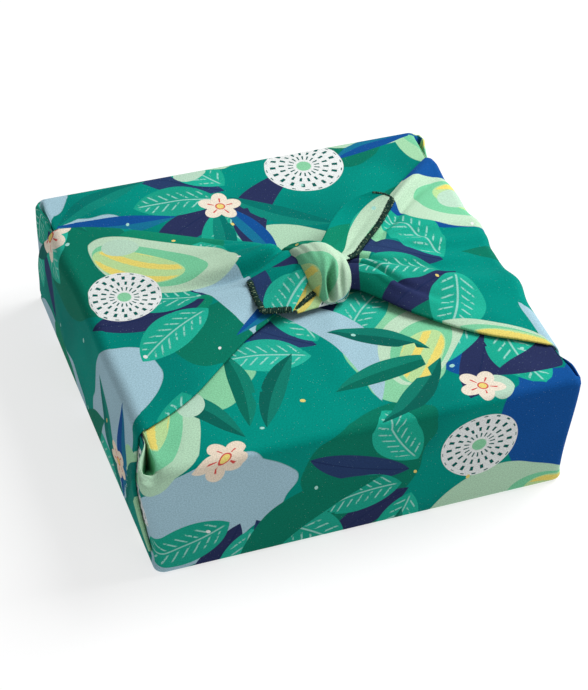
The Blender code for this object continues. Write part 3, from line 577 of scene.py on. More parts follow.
        outer = points(*line(np.linspace(0, 1, SIDE_STEPS + 1)[None])[:3])
        rows = np.concatenate([strip(0), hairpin(0), outer, hairpin(1)[:, ::-1], strip(1)[:, ::-1]], 1)
        grid = points(side * x, rows[..., 0], rows[..., 1], side * (self.lid_flat + HALF_WIDTH - x), rows[..., 2])
        angle = quarter(ROUND_STEPS)[1:-1, None]
        radius = ((self.side_x - self.centre_x) * (1 - np.sin(angle))
                  + (EDGE_ROUND + grid[0, :, 2] - self.lid_z)[None] * np.sin(angle))
        base = np.abs(loop[:, 0]) - self.side_x
        centre = self.centre_x + base[None] * (1 - np.sin(angle)) ** 2
        edge = points(side * (centre + radius * np.cos(angle)),
                      loop[:, 1] + (grid[0, :, 1] - loop[:, 1]) * np.sin(angle),
                      self.wall_top + radius * np.sin(angle),
                      side * (HALF_WIDTH + self.wall_top + EDGE_ROUND * SIDE_STRETCH * angle),
                      loop[:, 4] + (grid[0, :, 4] - loop[:, 4]) * np.sin(angle))
        return np.concatenate([loop[None], edge, grid])

    def pressed(self, grid):
        """The folds bulge out over the upper edges, and the slot at the front left corner rolls down over its
        edge: a soft round dent, deep * exp of minus the squared distances from its middle over its widths."""
        x, y, z = grid[..., 0], grid[..., 1], grid[..., 2]
        before = x.copy()
        for side, middle, out, width in EDGE_BULGES:
            near = (ease((side * before - BULGE_AT[0]) / BULGE_GROWTH[0])
                    * ease((z - BULGE_AT[1]) / BULGE_GROWTH[1]))
            x += side * out * np.exp(-((y - middle) / width) ** 2) * near
        middle, (wide, long), deep = SLOT_END
        dent = deep * np.exp(-((x - middle[0]) / wide) ** 2 - ((y - middle[1]) / long) ** 2)
        z -= dent * ease((z - SLOT_AT) / SLOT_GROWTH)
        return grid

    def bottom(self, loop):
        """The underside: the lowest loop shrunk towards the middle of the box."""
        share = np.array([1.0, 0.97, 0.9, 0.75, 0.5, 0.25, 0.0])[:, None, None]
        both = np.repeat(share, 2, 2)
        return loop[None] * np.concatenate([both, np.ones_like(share), both], 2)

    def grids(self):
        """Every grid of the folded cloth, as (grid, closed) pairs."""
        loops = self.loops()
        top = loops[-1]
        skip = CORNER_STEPS + INNER_STEPS + BACK_STEPS + FOLD_STEPS
        left_end = 2 * (CORNER_STEPS + 1 + SIDE_COLUMNS) + SIDE_STEPS - 1
        right_start = left_end + FRONT_STEPS - 1
        left = top[skip:left_end - skip]
        right = top[right_start + skip:right_start + left_end - skip][::-1]
        below = 2 * self.layer     # the back flap dips so far, to lie under the front one
        made = [self.tuck(name) for name in CORNERS] + [
            self.lid_flap(-1, "front left", "front right", FRONT_FLAP_END, 0.0, FRONT_LID_WAVES),
            self.lid_flap(1, "back left", "back right", BACK_FLAP_END, below, BACK_LID_WAVES),
            self.side_flap(-1, left, LEFT_FLAP, LEFT_CREASES, LEFT_PEAK),
            self.side_flap(1, right, RIGHT_FLAP, RIGHT_CREASES, RIGHT_PEAK)]
        closed = [(self.pressed(grid), True) for grid in (loops, self.bottom(loops[0]))]
        return closed + [(self.pressed(grid), False) for grid in made]


def between_columns(start, end, steps):
    """Evenly spaced columns between two, without them: arrays (rows, 5) give (rows, steps - 1, 5)."""
    share = (np.arange(1, steps) / steps)[None, :, None]
    return start[:, None] * (1 - share) + end[:, None] * share


# --- meshes ---

MERGE = 2e-5               # points of two grids' borders that are as close as this are one point


def grid_faces(rows, columns, closed, first):
    """Faces with four corners between a grid's rows and columns, where its first point has that number."""
    i = np.arange(rows - 1)[:, None]
    k = np.arange(columns if closed else columns - 1)[None]
    following = (k + 1) % columns
    corners = [i * columns + k, i * columns + following, (i + 1) * columns + following, (i + 1) * columns + k]
    return first + points(*corners).reshape(-1, 4)


def grids_object(name, grids, thickness):
    """One smooth mesh of several grids whose shared borders are merged, with its print's fields."""
    faces, first = [], 0
    for grid, closed in grids:
        rows, columns = grid.shape[:2]
        faces += grid_faces(rows, columns, closed, first).tolist()
        first += rows * columns
    every = np.concatenate([grid.reshape(-1, 5) for grid, _ in grids])
    mesh = bpy.data.meshes.new(name)
    mesh.from_pydata(every[:, :3].tolist(), [], faces)
    flat = points(every[:, 3], every[:, 4], 0.0)
    mesh.attributes.new("flat", "FLOAT_VECTOR", "POINT").data.foreach_set("vector", flat.ravel().astype(np.float32))
    bm = bmesh.new()
    bm.from_mesh(mesh)
    bmesh.ops.remove_doubles(bm, verts=bm.verts, dist=MERGE)
    bmesh.ops.recalc_face_normals(bm, faces=bm.faces)
    bm.to_mesh(mesh)
    bm.free()
    write_print(mesh)
    mesh.shade_smooth()
    made = bpy.data.objects.new(name, mesh)
    bpy.context.scene.collection.objects.link(made)
    if thickness:
        solidify = made.modifiers.new("thickness", "SOLIDIFY")
        solidify.thickness = thickness
        solidify.offset = 0.0
    return made


# --- the knot and the free ends ---

# The knot's band: an oval at each y, from the back to the front.
KNOT = ("y", "left", "right", "top", "underside")
KNOT_BODY = table(KNOT, (
    (26.2, 3.5, 4.5, 86.2, 85.8), (25, 0, 8, 88, 84), (20, -3, 13, 95, 83.2), (12, -3, 20, 102, 83),
    (2, -1, 25.5, 107, 83), (-8, 0, 28, 108, 83), (-16, 2, 27.5, 104.5, 83), (-22, 5.5, 24.5, 97, 83.2),
    (-26.5, 9.5, 19, 89, 83.8), (-27.5, 13.5, 14.5, 86.2, 85.8),
))
KNOT_MIDDLE = 0.42            # the height of the ovals' widest place, as a share
KNOT_CUT = 0.6                # the ovals are flat below this share of their lower half
KNOT_SINK = 0.8               # how much of a crease goes down, and how much goes back where the band turns down
KNOT_PUSH = 0.7
KNOT_FRONT = (0.012, 0.008)   # that starts so far in front of the middle, and grows over the second distance
KNOT_CREASED = 0.012          # creases reach their depth where the band is this high
KNOT_FLAT = (-0.300, 0.050)   # where the band lies on the flat cloth, its length round the knot and its stretch
KNOT_ROUND = 0.09
KNOT_STRETCH = 1.3
# Creases of the knot's band, as lines of points. Columns: y, x, depth, width.
KNOT_CREASES = [mm(line) for line in (
    ((-27.5, 12.2, 8, 1.7), (-24, 12, 9, 1.7), (-20.5, 12.4, 8, 1.6), (-17.5, 13.8, 4, 1.6), (-13, 16, 1.4, 2),
     (-4, 19, 0.6, 2.4), (8, 20, 0, 2.8)),
    ((-27.5, 18, 2, 1.6), (-18, 20, 2.6, 1.6), (-8, 21.8, 1.6, 1.8), (4, 22.6, 0.6, 1.8), (12, 20, 0, 1.8)),
    ((-20, 9.2, 0, 1.2), (-10, 9.2, 0.5, 1.8), (4, 8.5, 0.9, 2), (14, 6.5, 0.8, 1.6), (22, 3.5, 0.4, 1.2)),
    ((-16, 6, 0, 1), (-4, 4.5, 0.6, 1.4), (6, 3.6, 1, 1.4), (18, 0.8, 0.6, 1.2)),
    ((-27.5, 9.8, -1.2, 1.2), (-20, 9.6, -1.6, 1.4), (-13, 11, -0.6, 2), (-4, 12, 0, 2)),
    ((-24, 15.8, -1, 1.4), (-15, 16.8, -1, 1.8), (-4, 17, -0.4, 2.4), (6, 16, 0, 2.4)),
)]

# The left free end: its root at the knot and its two hems, which meet at the cloth's corner. The layer under it is
# a strip between two lines, each given by its ends, and then a fold: a second strip below the first.
LEFT_END = {name: mm(point) for name, point in (
    ("root back", (4, 9, 97.5)), ("hem back", (-31.6, -1.2, 91.2)), ("corner", (-31.2, -25.4, 86.6)),
    ("hem front", (-13.8, -30, 88)), ("root front", (5, -10, 96.2)),
)}
LEFT_BULGE = 0.0024
LEFT_RIPPLE = 0.0007
# Grooves of the free ends, and one ridge. Columns: depth, middle, slant, width, fade.
LEFT_GROOVES = ((0.0012, 0.0, 0.0, 0.10, 1.0), (0.0010, 0.62, -0.2, 0.07, 0.5))
RIGHT_GROOVES = ((0.0012, 0.30, 0.1, 0.08, 0.7), (-0.0008, 0.52, 0.0, 0.10, 1.0))
LEFT_TURN = 0.6                  # share of its rows at which its front edge reaches the front hem
UNDER_SAG = 0.0006
FOLD_SAG = -0.0008
UNDER_LAYER = mm((((-15, -27, 86.2), (5, -8.5, 93)), ((-10.8, -27.2, 86.2), (10.5, -16.8, 89.2))))
UNDER_FLAT = (-0.261, 0.043)     # where both lie on the flat cloth, and their length and width there
UNDER_SIZE = (0.026, 0.010)
UNDER_FOLD = mm((((-11.2, -26.8, 85.6), (11, -15.5, 87.8)), ((-10, -28.8, 84.2), (9, -26.2, 83.8))))
# The right free end by section, from the knot out: a point on its hem, in its middle and on its far edge.
RIGHT_END = mm((
    ((24, -6, 96.5), (20, 4, 98), (16, 10, 96)), ((36.1, -1.4, 95), (30.2, 10, 95.2), (23.6, 18, 99)),
    ((46.3, 8.4, 94.8), (40.2, 20, 95), (31.2, 27, 100.6)), ((58.7, 19, 96), (52, 30, 96.6), (41.2, 35.8, 102)),
    ((68.5, 29, 97.6), (63.5, 36.2, 99.4), (52, 40.8, 103.2)),
    ((75.6, 36.9, 98.8), (71, 39.8, 102.2), (62.4, 42, 104.2)),
))
KNOT_ROWS = 72
KNOT_SIDES = 96
CLOTH_CORNER = CLOTH_SIDE / math.sqrt(2)       # from the middle of the flat cloth
HEM_WIDTH = 0.0038
HEM_THICKNESS = 0.0014
HEM_PITCH = 0.0011               # from stitch to stitch
STITCH_STEPS = 6                 # points along a stitch, and round the hem
HEM_SIDES = 16
HEM_INSET = 0.36                 # the hem's middle lies so far inside the cloth's edge, as a share of its width
HEM_END = 0.0008                 # a hem closes over this length at its ends
RIGHT_HEM_START = 6              # row of the right end where its hem comes out of the knot
FAR_HEM_SHARE = 0.35             # width of the right end's other hem, as a share


def knot_grid():
    """The knot's band: an oval at each y, flat underneath, with the creases pressed into its upper side as
    depth * exp(-((x - line) / width) ** 2), and pushed back where the band turns down in front."""
    ys = KNOT_BODY["y"]
    share = (1 - np.cos(np.linspace(0, math.pi, KNOT_ROWS))) / 2
    y = (ys[0] + (ys[-1] - ys[0]) * share)[:, None]
    v = {name: curve(ys, KNOT_BODY[name], y) for name in KNOT[1:]}
    angle = np.linspace(0, 2 * math.pi, KNOT_SIDES + 1)[None, :-1]
    centre, half, rise = (v["left"] + v["right"]) / 2, (v["right"] - v["left"]) / 2, v["top"] - v["underside"]
    x = centre + half * np.cos(angle)
    up = np.maximum(np.sin(angle), -KNOT_CUT)
    z = v["underside"] + rise * (KNOT_MIDDLE * (up + KNOT_CUT) / KNOT_CUT * (up < 0) + (up >= 0) * KNOT_MIDDLE
                                 + (1 - KNOT_MIDDLE) * np.maximum(up, 0))
    pushed = np.zeros_like(z)
    for crease in KNOT_CREASES:
        cy, cx, depth, width = crease.T
        trough = curve(cy, depth, y) * np.exp(-((x - curve(cy, cx, y)) / curve(cy, width, y)) ** 2)
        trough = trough * ease(np.sin(angle) * 2) * np.minimum(1, rise / KNOT_CREASED)
        z = z - trough * KNOT_SINK
        pushed = pushed + np.maximum(trough, 0) * KNOT_PUSH * ease((-y - KNOT_FRONT[0]) / KNOT_FRONT[1])
    around = angle / (2 * math.pi)
    return points(x, y + pushed, z, KNOT_FLAT[0] + KNOT_ROUND * around, KNOT_FLAT[1] + y * KNOT_STRETCH)


def patch(front, back, columns):
    """A ruled surface between two lines of as many points, as (rows, columns, 3)."""
    t = np.linspace(0, 1, columns)[None, :, None]
    return front[:, None] * (1 - t) + back[:, None] * t


def grooves(rows, t, share):
    """Depth of a free end's grooves at t across it and at a share of its length: each is
    depth * exp(-((t - middle - slant * share) / width) ** 2) * (1 - share) ** fade."""
    return sum(depth * np.exp(-((t - middle - slant * share) / width) ** 2) * (1 - share) ** fade
               for depth, middle, slant, width, fade in rows)


def left_end_grid(rows=44, columns=34):
    """The left free end: ruled between its front edge, which turns at the hem's end, and its back edge, and
    raised by a sine across that fades towards the hem."""
    share = np.linspace(0, 1, rows)[:, None]
    turn = np.round(LEFT_TURN * (rows - 1)) / (rows - 1)
    root, hem, corner = LEFT_END["root front"], LEFT_END["hem front"], LEFT_END["corner"]
    front = np.where(share < turn, root + (hem - root) * share / turn,
                     hem + (corner - hem) * (share - turn) / (1 - turn))
    back = LEFT_END["root back"] + (LEFT_END["hem back"] - LEFT_END["root back"]) * share
    grid = patch(front, back, columns)
    t = np.linspace(0, 1, columns)[None]
    grid[..., 2] += LEFT_BULGE * np.sin(math.pi * t) ** 0.8 * (1 - share ** 2)
    grid[..., 2] += LEFT_RIPPLE * np.sin(2.4 * math.pi * t + 0.6) * share
    grid[..., 2] -= grooves(LEFT_GROOVES, t, share)
    first, second = (LEFT_END["hem back"] - corner)[:2], (hem - corner)[:2]
    basis = np.linalg.inv(np.stack([first / np.linalg.norm(first), second / np.linalg.norm(second)], 1))
    along = (grid[..., :2] - corner[:2]) @ basis.T
    flat = points(-CLOTH_CORNER + (along[..., 0] + along[..., 1]) / math.sqrt(2),
                  (along[..., 0] - along[..., 1]) / math.sqrt(2))
    return np.concatenate([grid, flat], -1)


def under_grid(layer, sag, rows=30, columns=10):
    """A strip of the layer under the left free end, ruled between two lines and sagging between them."""
    share = np.linspace(0, 1, rows)[:, None]
    lines = [start + (end - start) * share for start, end in layer]
    grid = patch(*lines, columns)
    t = np.linspace(0, 1, columns)[None]
    grid[..., 2] -= sag * np.sin(math.pi * t)
    flat = points(UNDER_FLAT[0] + UNDER_SIZE[0] * share, UNDER_FLAT[1] - UNDER_SIZE[1] * t)
    return np.concatenate([grid, flat], -1)


def right_end_grid(rows=54, columns=34):
    """The right free end: each section is a curve through its three points, joined by smooth lines along it."""
    places, at = np.arange(len(RIGHT_END)), np.linspace(0, len(RIGHT_END) - 1, rows)
    edge, middle, far = (points(*(curve(places, RIGHT_END[:, k, axis], at) for axis in range(3)))[:, None]
                         for k in range(3))
    bend = 2 * middle - (edge + far) / 2
    t = np.linspace(0, 1, columns)[None, :, None]
    grid = edge * (1 - t) ** 2 + bend * 2 * t * (1 - t) + far * t * t
    grid[..., 2] -= grooves(RIGHT_GROOVES, t[..., 0], (at / at[-1])[:, None])
    length = np.linalg.norm(np.diff(edge[:, 0], axis=0), axis=1)
    run = np.concatenate([np.cumsum(length[::-1])[::-1], [0]])[:, None]
    across = t[..., 0] * np.linalg.norm(far - edge, axis=-1)
    flat = points(CLOTH_CORNER - (run + across) / math.sqrt(2), (run - across) / math.sqrt(2))
    return np.concatenate([grid, flat], -1)


def hem_grid(edge, inner, width):
    """An overlocked hem along an edge of a grid: a flattened tube round the edge, with a ridge at each stitch
    that comes and goes with a sine along it, and closed ends. inner is the grid's line next to the edge."""
    length = np.concatenate([[0], np.cumsum(np.linalg.norm(np.diff(edge, axis=0), axis=1))])
    rows = int(length[-1] / HEM_PITCH * STITCH_STEPS)
    at = np.linspace(0, length[-1], rows)
    line, inside = (points(*(np.interp(at, length, along[:, axis]) for axis in range(3))) for along in (edge, inner))
    tangent = np.gradient(line, axis=0)
    tangent /= np.linalg.norm(tangent, axis=1)[:, None]
    across = inside - line
    across -= tangent * (across * tangent).sum(1)[:, None]
    across /= np.linalg.norm(across, axis=1)[:, None]
    up = np.cross(tangent, across)
    angle = np.linspace(0, 2 * math.pi, HEM_SIDES + 1)[None, :-1, None]
    phase = (at * 2 * math.pi / HEM_PITCH)[:, None, None]
    ends = np.minimum(1, np.minimum(at, length[-1] - at) / HEM_END)[:, None, None] ** 0.5
    skew = np.sin(phase + 1.2 * np.cos(angle))
    stitch = 1 + 0.09 * skew + 0.07 * np.sin(phase * 0.37 + 2 * angle) + 0.05 * np.sin(phase * 0.73 - angle)
    stray = 1 + 0.16 * np.maximum(0, skew) ** 3 * (np.cos(angle) < -0.3)
    shape = (line + across * width * HEM_INSET)[:, None] + ends * stitch * (
        across[:, None] * np.cos(angle) * width / 2 * stray + up[:, None] * np.sin(angle) * HEM_THICKNESS / 2)
    flat = points(at[:, None], angle[..., 0] * 0.001)
    return np.concatenate([shape, flat], -1)


# --- the print ---
# Each layer of the print is a scatter of one kind of motif on the flat cloth. Every face of a cloth mesh takes the
# nearest motif of each layer, and its corners hold their place in that motif: a along its length and b across it,
# both 1 at its rim, with its bend, and its colour.

def linear(code):
    """A colour given as six hexadecimal digits, as linear red, green and blue."""
    part = [int(code[i:i + 2], 16) / 255 for i in (0, 2, 4)]
    return tuple(c / 12.92 if c <= 0.04045 else ((c + 0.055) / 1.055) ** 2.4 for c in part)


LAYER_ROW = ("name", "seed", "spacing", "jitter", "half length", "half width", "roundness", "count", "reach",
             "fan", "bend", "tones")
LAYERS = [dict(zip(LAYER_ROW, row)) for row in (
    ("field", 174, 0.118, 0.18, 0.062, 0.038, 0.95, 1, 0.0, 0.0, 0.3, ("0A7A62", "14529B", "A9CCDA", "0A7A62")),
    ("lobe", 38, 0.138, 0.17, 0.056, 0.032, 0.9, 1, 0.0, 0.0, 0.4, ("8FD6A8", "B9DFC0", "0E8A6A", "14529B")),
    ("dusk", 5, 0.128, 0.13, 0.040, 0.0125, 0.3, 2, 0.043, 1.08, 0.3, ("2C325C", "2B3F6B")),
    ("leaf", 5, 0.128, 0.13, 0.032, 0.0170, 0.35, 3, 0.039, 1.08, -0.2, ("22B59A", "1FA88F", "2BBBA2")),
    ("swoosh", 71, 0.134, 0.18, 0.060, 0.0140, 0.35, 1, 0.0, 0.0, 1.8, ("A9CCDA", "04655F", "0A7A62", "2C325C")),
    ("pod", 12, 0.142, 0.17, 0.047, 0.0270, 0.8, 1, 0.0, 0.0, 0.25, ("B9DFC0", "A8DDB0", "C4E3C6")),
    ("frond", 9, 0.150, 0.17, 0.038, 0.0085, 0.0, 3, 0.042, 0.58, 0.5, ("0A6E5C", "04776D", "14529B", "0B6458")),
    ("disc", 15, 0.150, 0.20, 0.0115, 0.0090, 1.0, 1, 0.0, 0.0, 0.0, ("C5DED8", "BFE0C9", "BFE0C9")),
    ("head", 95, 0.190, 0.17, 0.0265, 0.0265, 1.0, 1, 0.0, 0.0, 0.0, ("F1F4F3",)),
    ("bloom", 24, 0.150, 0.18, 0.0160, 0.0160, 1.0, 1, 0.0, 0.0, 0.0, ("F5E9D6", "F3E2CC")),
    ("drop", 31, 0.060, 0.30, 0.0016, 0.0012, 1.0, 1, 0.0, 0.0, 0.0, ("EEF0EE", "F2DC7E", "A9E0D5")),
)]
CLOTH_REACH = CLOTH_CORNER + 0.03     # the print is laid out a little past the cloth's corners


def motifs(layer):
    """A layer's motifs: places on a jittered grid, and at each a fan of count leaves around it. The columns are
    u, v, angle, half length, half width, bend and the colour."""
    chance, spacing = np.random.default_rng(layer["seed"]), layer["spacing"]
    steps = np.arange(-CLOTH_REACH, CLOTH_REACH, spacing)
    u, v = np.meshgrid(steps, steps)
    u = u + (np.arange(len(steps)) % 2)[:, None] * spacing / 2
    u, v = (at.ravel() + chance.uniform(-1, 1, u.size) * spacing * layer["jitter"] for at in (u, v))
    start = chance.uniform(0, 2 * math.pi, u.size)
    tones = np.array([linear(code) for code in layer["tones"]])
    pick = chance.integers(0, len(tones), u.size)
    rows = []
    for k in range(layer["count"]):
        size = chance.uniform(0.78, 1.0, u.size)
        turn = start + (k - (layer["count"] - 1) / 2) * layer["fan"] + chance.uniform(-0.1, 0.1, u.size)
        bend = layer["bend"] * chance.choice((-1, 1), u.size)
        rows.append(np.column_stack([u + layer["reach"] * np.cos(turn), v + layer["reach"] * np.sin(turn), turn,
                                     layer["half length"] * size, layer["half width"] * size, bend,
                                     tones[(pick + (k == 1)) % len(tones)]]))
    return np.concatenate(rows)


def write_print(mesh):
    """Writes each layer's place and colour to the corners of the mesh's faces."""
    count, corners = len(mesh.polygons), len(mesh.loops)
    flat = np.empty(len(mesh.vertices) * 3, np.float32)
    mesh.attributes["flat"].data.foreach_get("vector", flat)
    vertex = np.empty(corners, np.int32)
    mesh.loops.foreach_get("vertex_index", vertex)
    total = np.empty(count, np.int32)
    mesh.polygons.foreach_get("loop_total", total)
    owner = np.repeat(np.arange(count), total)
    at = flat.reshape(-1, 3)[vertex].astype(float)
    middle = points(*(np.bincount(owner, at[:, axis], count) / total for axis in (0, 1)))
    for layer in LAYERS:
        rows, roundness = motifs(layer), layer["roundness"]
        best, found = np.full(count, np.inf), np.zeros(count, int)
        for number, (u, v, turn, length, width, bend, *_) in enumerate(rows):
            du, dv = middle[:, 0] - u, middle[:, 1] - v
            a = (du * math.cos(turn) + dv * math.sin(turn)) / length
            b = (dv * math.cos(turn) - du * math.sin(turn)) / width
            b = abs(b - bend * (a * a - 0.4))
            off = a * a + b * (1 - roundness) + b * b * roundness
            closer = off < best
            best[closer], found[closer] = off[closer], number
        mine = rows[found[owner]]
        du, dv = at[:, 0] - mine[:, 0], at[:, 1] - mine[:, 1]
        cos, sin = np.cos(mine[:, 2]), np.sin(mine[:, 2])
        place = points((du * cos + dv * sin) / mine[:, 3], (dv * cos - du * sin) / mine[:, 4], mine[:, 5])
        for kind, values in (("place", place), ("tone", mine[:, 6:9])):
            made = mesh.attributes.new(f"{layer['name']} {kind}", "FLOAT_VECTOR", "CORNER")
            made.data.foreach_set("vector", values.ravel().astype(np.float32))


# --- materials ---

class Socket:
    """A node's output, with arithmetic: an expression adds its Math nodes."""

    def __init__(self, nodes, socket):
        self.nodes, self.socket = nodes, socket

    def __add__(self, other):
        return self.nodes.math("ADD", self, other)

    def __sub__(self, other):
        return self.nodes.math("SUBTRACT", self, other)

    def __rsub__(self, other):
        return self.nodes.math("SUBTRACT", other, self)

    def __mul__(self, other):
        return self.nodes.math("MULTIPLY", self, other)

    def __abs__(self):
        return self.nodes.math("ABSOLUTE", self)

    __radd__ = __add__
    __rmul__ = __mul__


class Nodes:
    """A new material and the nodes that are added to it."""

    def __init__(self, name):
        self.material = bpy.data.materials.new(name)
        self.material.use_nodes = True
        self.tree = self.material.node_tree
        self.shader = self.tree.nodes["Principled BSDF"]

    def add(self, kind, settings=None, inputs=None, output=0):
        node = self.tree.nodes.new("ShaderNode" + kind)
        for name, value in (settings or {}).items():
            setattr(node, name, value)
        for name, value in (inputs or {}).items():
            self.feed(node.inputs[name], value)
        return Socket(self, node.outputs[output])

    def feed(self, socket, value):
        if isinstance(value, Socket):
            self.tree.links.new(value.socket, socket)
        else:
            socket.default_value = value

    def math(self, operation, *values):
        return self.add("Math", {"operation": operation}, dict(enumerate(values)))

    def shade(self, **values):
        """Feeds the shader's inputs, whose names are written with _ for a space."""
        for name, value in values.items():
            self.feed(self.shader.inputs[name.replace("_", " ")], value)

    def lift(self, height, strength, distance):
        """A bump: the height, times its distance in metres, at that strength."""
        bump = self.add("Bump", None, {"Strength": strength, "Distance": distance, "Height": height})
        self.shade(Normal=bump)

    def mix(self, share, first, second, blend="MIX"):
        """The first colour where share is 0 and the second where it is 1: sockets, codes for linear() or numbers."""
        pair = [linear(c) if isinstance(c, str) else c for c in (first, second)]
        pair = [c if isinstance(c, Socket) else (*c, 1.0) for c in pair]
        return self.add("Mix", {"data_type": "RGBA", "blend_type": blend}, {0: share, 6: pair[0], 7: pair[1]}, 2)

    def step(self, value, low, high):
        """0 up to low and 1 from high on, with a smooth rise between; low may be the higher of the two."""
        return self.add("MapRange", {"interpolation_type": "SMOOTHSTEP"}, {0: value, 1: low, 2: high})

    def noise(self, vector, scale, detail=2.0):
        return self.add("TexNoise", {"noise_dimensions": "3D"},
                        {"Vector": vector, "Scale": scale, "Detail": detail})

    def parts(self, vector):
        node = self.add("SeparateXYZ", None, {0: vector})
        return node, *(Socket(self, node.socket.node.outputs[k]) for k in (1, 2))

    def attribute(self, name):
        return self.add("Attribute", {"attribute_name": name}, None, 1)


def grey(level):
    return (level, level, level)


THREADS = 1500             # of the weave, for each metre
HEM_TURNS = 900            # of the hems' thread, for each metre
ROUGH_RIMS = ("field", "lobe")     # layers whose rims wander more than the others'


def print_material(colours):
    """The printed cotton. Each layer covers the ones before it, inside 1 - a * a - |b| > 0 or, for a round motif,
    1 - a * a - b * b > 0, where b is first bent by its bend * a * a."""
    n = Nodes("printed cotton")
    flat = n.attribute("flat")
    wobble = n.noise(flat, 45.0, 0.0) - 0.5
    wash = n.noise(flat, 30.0, 4.0)
    streak = n.noise(flat, 420.0, 2.0)
    speck = n.add("TexVoronoi", {"feature": "F1"}, {"Vector": flat, "Scale": 520.0})
    colour = n.mix(n.step(n.noise(flat, 10.0, 2.0), 0.42, 0.60), tuple(colours.base), tuple(colours.shade))
    details = {"pod": pod_detail, "leaf": leaf_detail, "dusk": vein_detail, "frond": frond_detail,
               "bloom": bloom_detail, "head": head_detail}
    for layer in LAYERS:
        name, roundness = layer["name"], layer["roundness"]
        a, b, bend = n.parts(n.attribute(f"{name} place"))
        tone = n.attribute(f"{name} tone")
        b = b - bend * (a * a - 0.4)
        side = abs(b)
        rim = 1.0 - a * a - side * (1.0 - roundness) - b * b * roundness
        if name == "bloom":
            rim = 0.62 + petals(n, a, b) * 0.38 - radius(n, a, b)
        rim = rim + wobble * (0.45 if name in ROUGH_RIMS else 0.15)
        if name in details:
            tone = details[name](n, tone, a, b, rim, streak)
        colour = n.mix(n.step(rim, 0.0, 0.03), colour, tone)
    grain = n.noise(flat, 1300.0, 2.0)
    colour = n.mix(0.16, colour, n.mix(wash, grey(0.25), grey(1.0)), "MULTIPLY")
    colour = n.mix(0.45, colour, n.mix(n.step(grain, 0.30, 0.70), grey(0.45), grey(1.0)), "MULTIPLY")
    colour = n.mix(n.step(speck, 0.10, 0.05) * 0.30, colour, (0.62, 0.83, 0.78))
    weave(n, flat, colour)
    n.shade(Roughness=0.82, Sheen_Weight=0.01, Sheen_Roughness=0.5, Specular_IOR_Level=0.02)
    return n.material


def pod_detail(n, tone, a, b, rim, streak):
    """A mint lobe inside the pale rim, off its middle, a lime band inside that, and long yellow strokes that
    follow the lobe: a sine of b, bent by a * a and frayed by the noise."""
    inner = 1.0 - (a + 0.14) * (a + 0.14) * 1.7 - (b - 0.14) * (b - 0.14) * 1.9
    tone = n.mix(n.step(inner, 0.0, 0.03), tone, "7ED3A4")
    heart = 1.0 - (a + 0.26) * (a + 0.26) * 2.6 - (b - 0.26) * (b - 0.26) * 3.4
    tone = n.mix(n.step(heart, 0.0, 0.04), tone, "BFE3A0")
    hatch = n.math("SINE", b * 13.0 + a * a * 5.0 + a * 2.5)
    hatch = n.step(hatch + streak * 0.8, 0.45, 0.75) * n.step(heart, 0.06, 0.16)
    return n.mix(hatch * 0.9, tone, "F5DD6E")


def leaf_detail(n, tone, a, b, rim, streak):
    """Pale strokes beside the middle of the leaf: a saw of a and |b|, broken where the noise is low."""
    side = abs(b)
    saw = n.math("FRACT", a * 4.4 - side * 2.0 + 40.0)
    stroke = n.step(abs(saw - 0.5), 0.14, 0.08) * n.step(side, 0.10, 0.18) * n.step(side, 0.62, 0.5)
    stroke = stroke * n.step(rim, 0.12, 0.2) * n.step(streak, 0.40, 0.46)
    rib = n.step(side, 0.05, 0.02) * n.step(abs(a), 0.9, 0.8)
    tone = n.mix(n.step(b, 0.0, 0.02) * 0.35, tone, "0E9A7F")
    return n.mix(n.math("MAXIMUM", stroke, rib) * 0.8, tone, "A9E0D5")


def vein_detail(n, tone, a, b, rim, streak):
    """A thin dark midrib."""
    return n.mix(n.step(abs(b), 0.06, 0.03) * 0.6, tone, "1D2A55")


def frond_detail(n, tone, a, b, rim, streak):
    """A lighter half."""
    return n.mix(n.step(b, 0.0, 0.05) * 0.25, tone, "22B59A")


def radius(n, a, b):
    """Distance from a motif's middle: the root of a * a + b * b."""
    return n.math("SQRT", a * a + b * b)


def petals(n, a, b):
    """1 along the middle of each of five petals and 0 between them."""
    turn = n.math("ARCTAN2", b, a)
    return abs(n.math("COSINE", turn * 2.5))


def bloom_detail(n, tone, a, b, rim, streak):
    """A coral stroke along each petal and a yellow heart."""
    out = radius(n, a, b)
    stroke = n.step(petals(n, a, b), 0.975, 0.99) * n.step(out, 0.26, 0.30) * n.step(out, 0.62, 0.54)
    tone = n.mix(stroke, tone, "D9534F")
    tone = n.mix(n.step(out, 0.24, 0.21), tone, "D9534F")
    return n.mix(n.step(out, 0.18, 0.15), tone, "F2DC7E")


def head_detail(n, tone, a, b, rim, streak):
    """Rings of short dark dashes that point outwards, round a mint heart."""
    out = radius(n, a, b)
    turn = n.math("ARCTAN2", b, a)
    rays = n.math("COSINE", turn * 18.0 + n.math("FLOOR", out * 4.5) * 1.9)
    ring = abs(n.math("FRACT", out * 4.5) - 0.5)
    dash = n.step(rays, 0.45, 0.60) * n.step(ring, 0.34, 0.28) * n.step(out, 0.21, 0.23) * n.step(rim, 0.06, 0.10)
    tone = n.mix(dash, tone, "0B5F58")
    return n.mix(n.step(out, 0.20, 0.17), tone, "8FD6A8")


def weave(n, flat, colour):
    """A fine plain weave along the cloth's own threads, which run at 45 degrees to the box: two sine waves lift the
    surface, and painted shade darkens the colour in the gaps between the threads."""
    u, v, _ = n.parts(flat)
    pitch = THREADS * 2 * math.pi / math.sqrt(2)
    first = n.math("SINE", (u + v) * pitch)
    second = n.math("SINE", (u - v) * pitch)
    threads = abs(first) * 0.5 + abs(second) * 0.5
    slub = n.noise(flat, 900.0, 2.0)
    # painted shade: the colour darkens towards near-black teal in the gaps between the threads, where the bump is
    # low
    n.shade(Base_Color=n.mix((1.0 - threads) * 0.22, colour, (0.0, 0.03, 0.03)))
    n.lift(threads + slub * 0.6, 0.45, 0.00012)


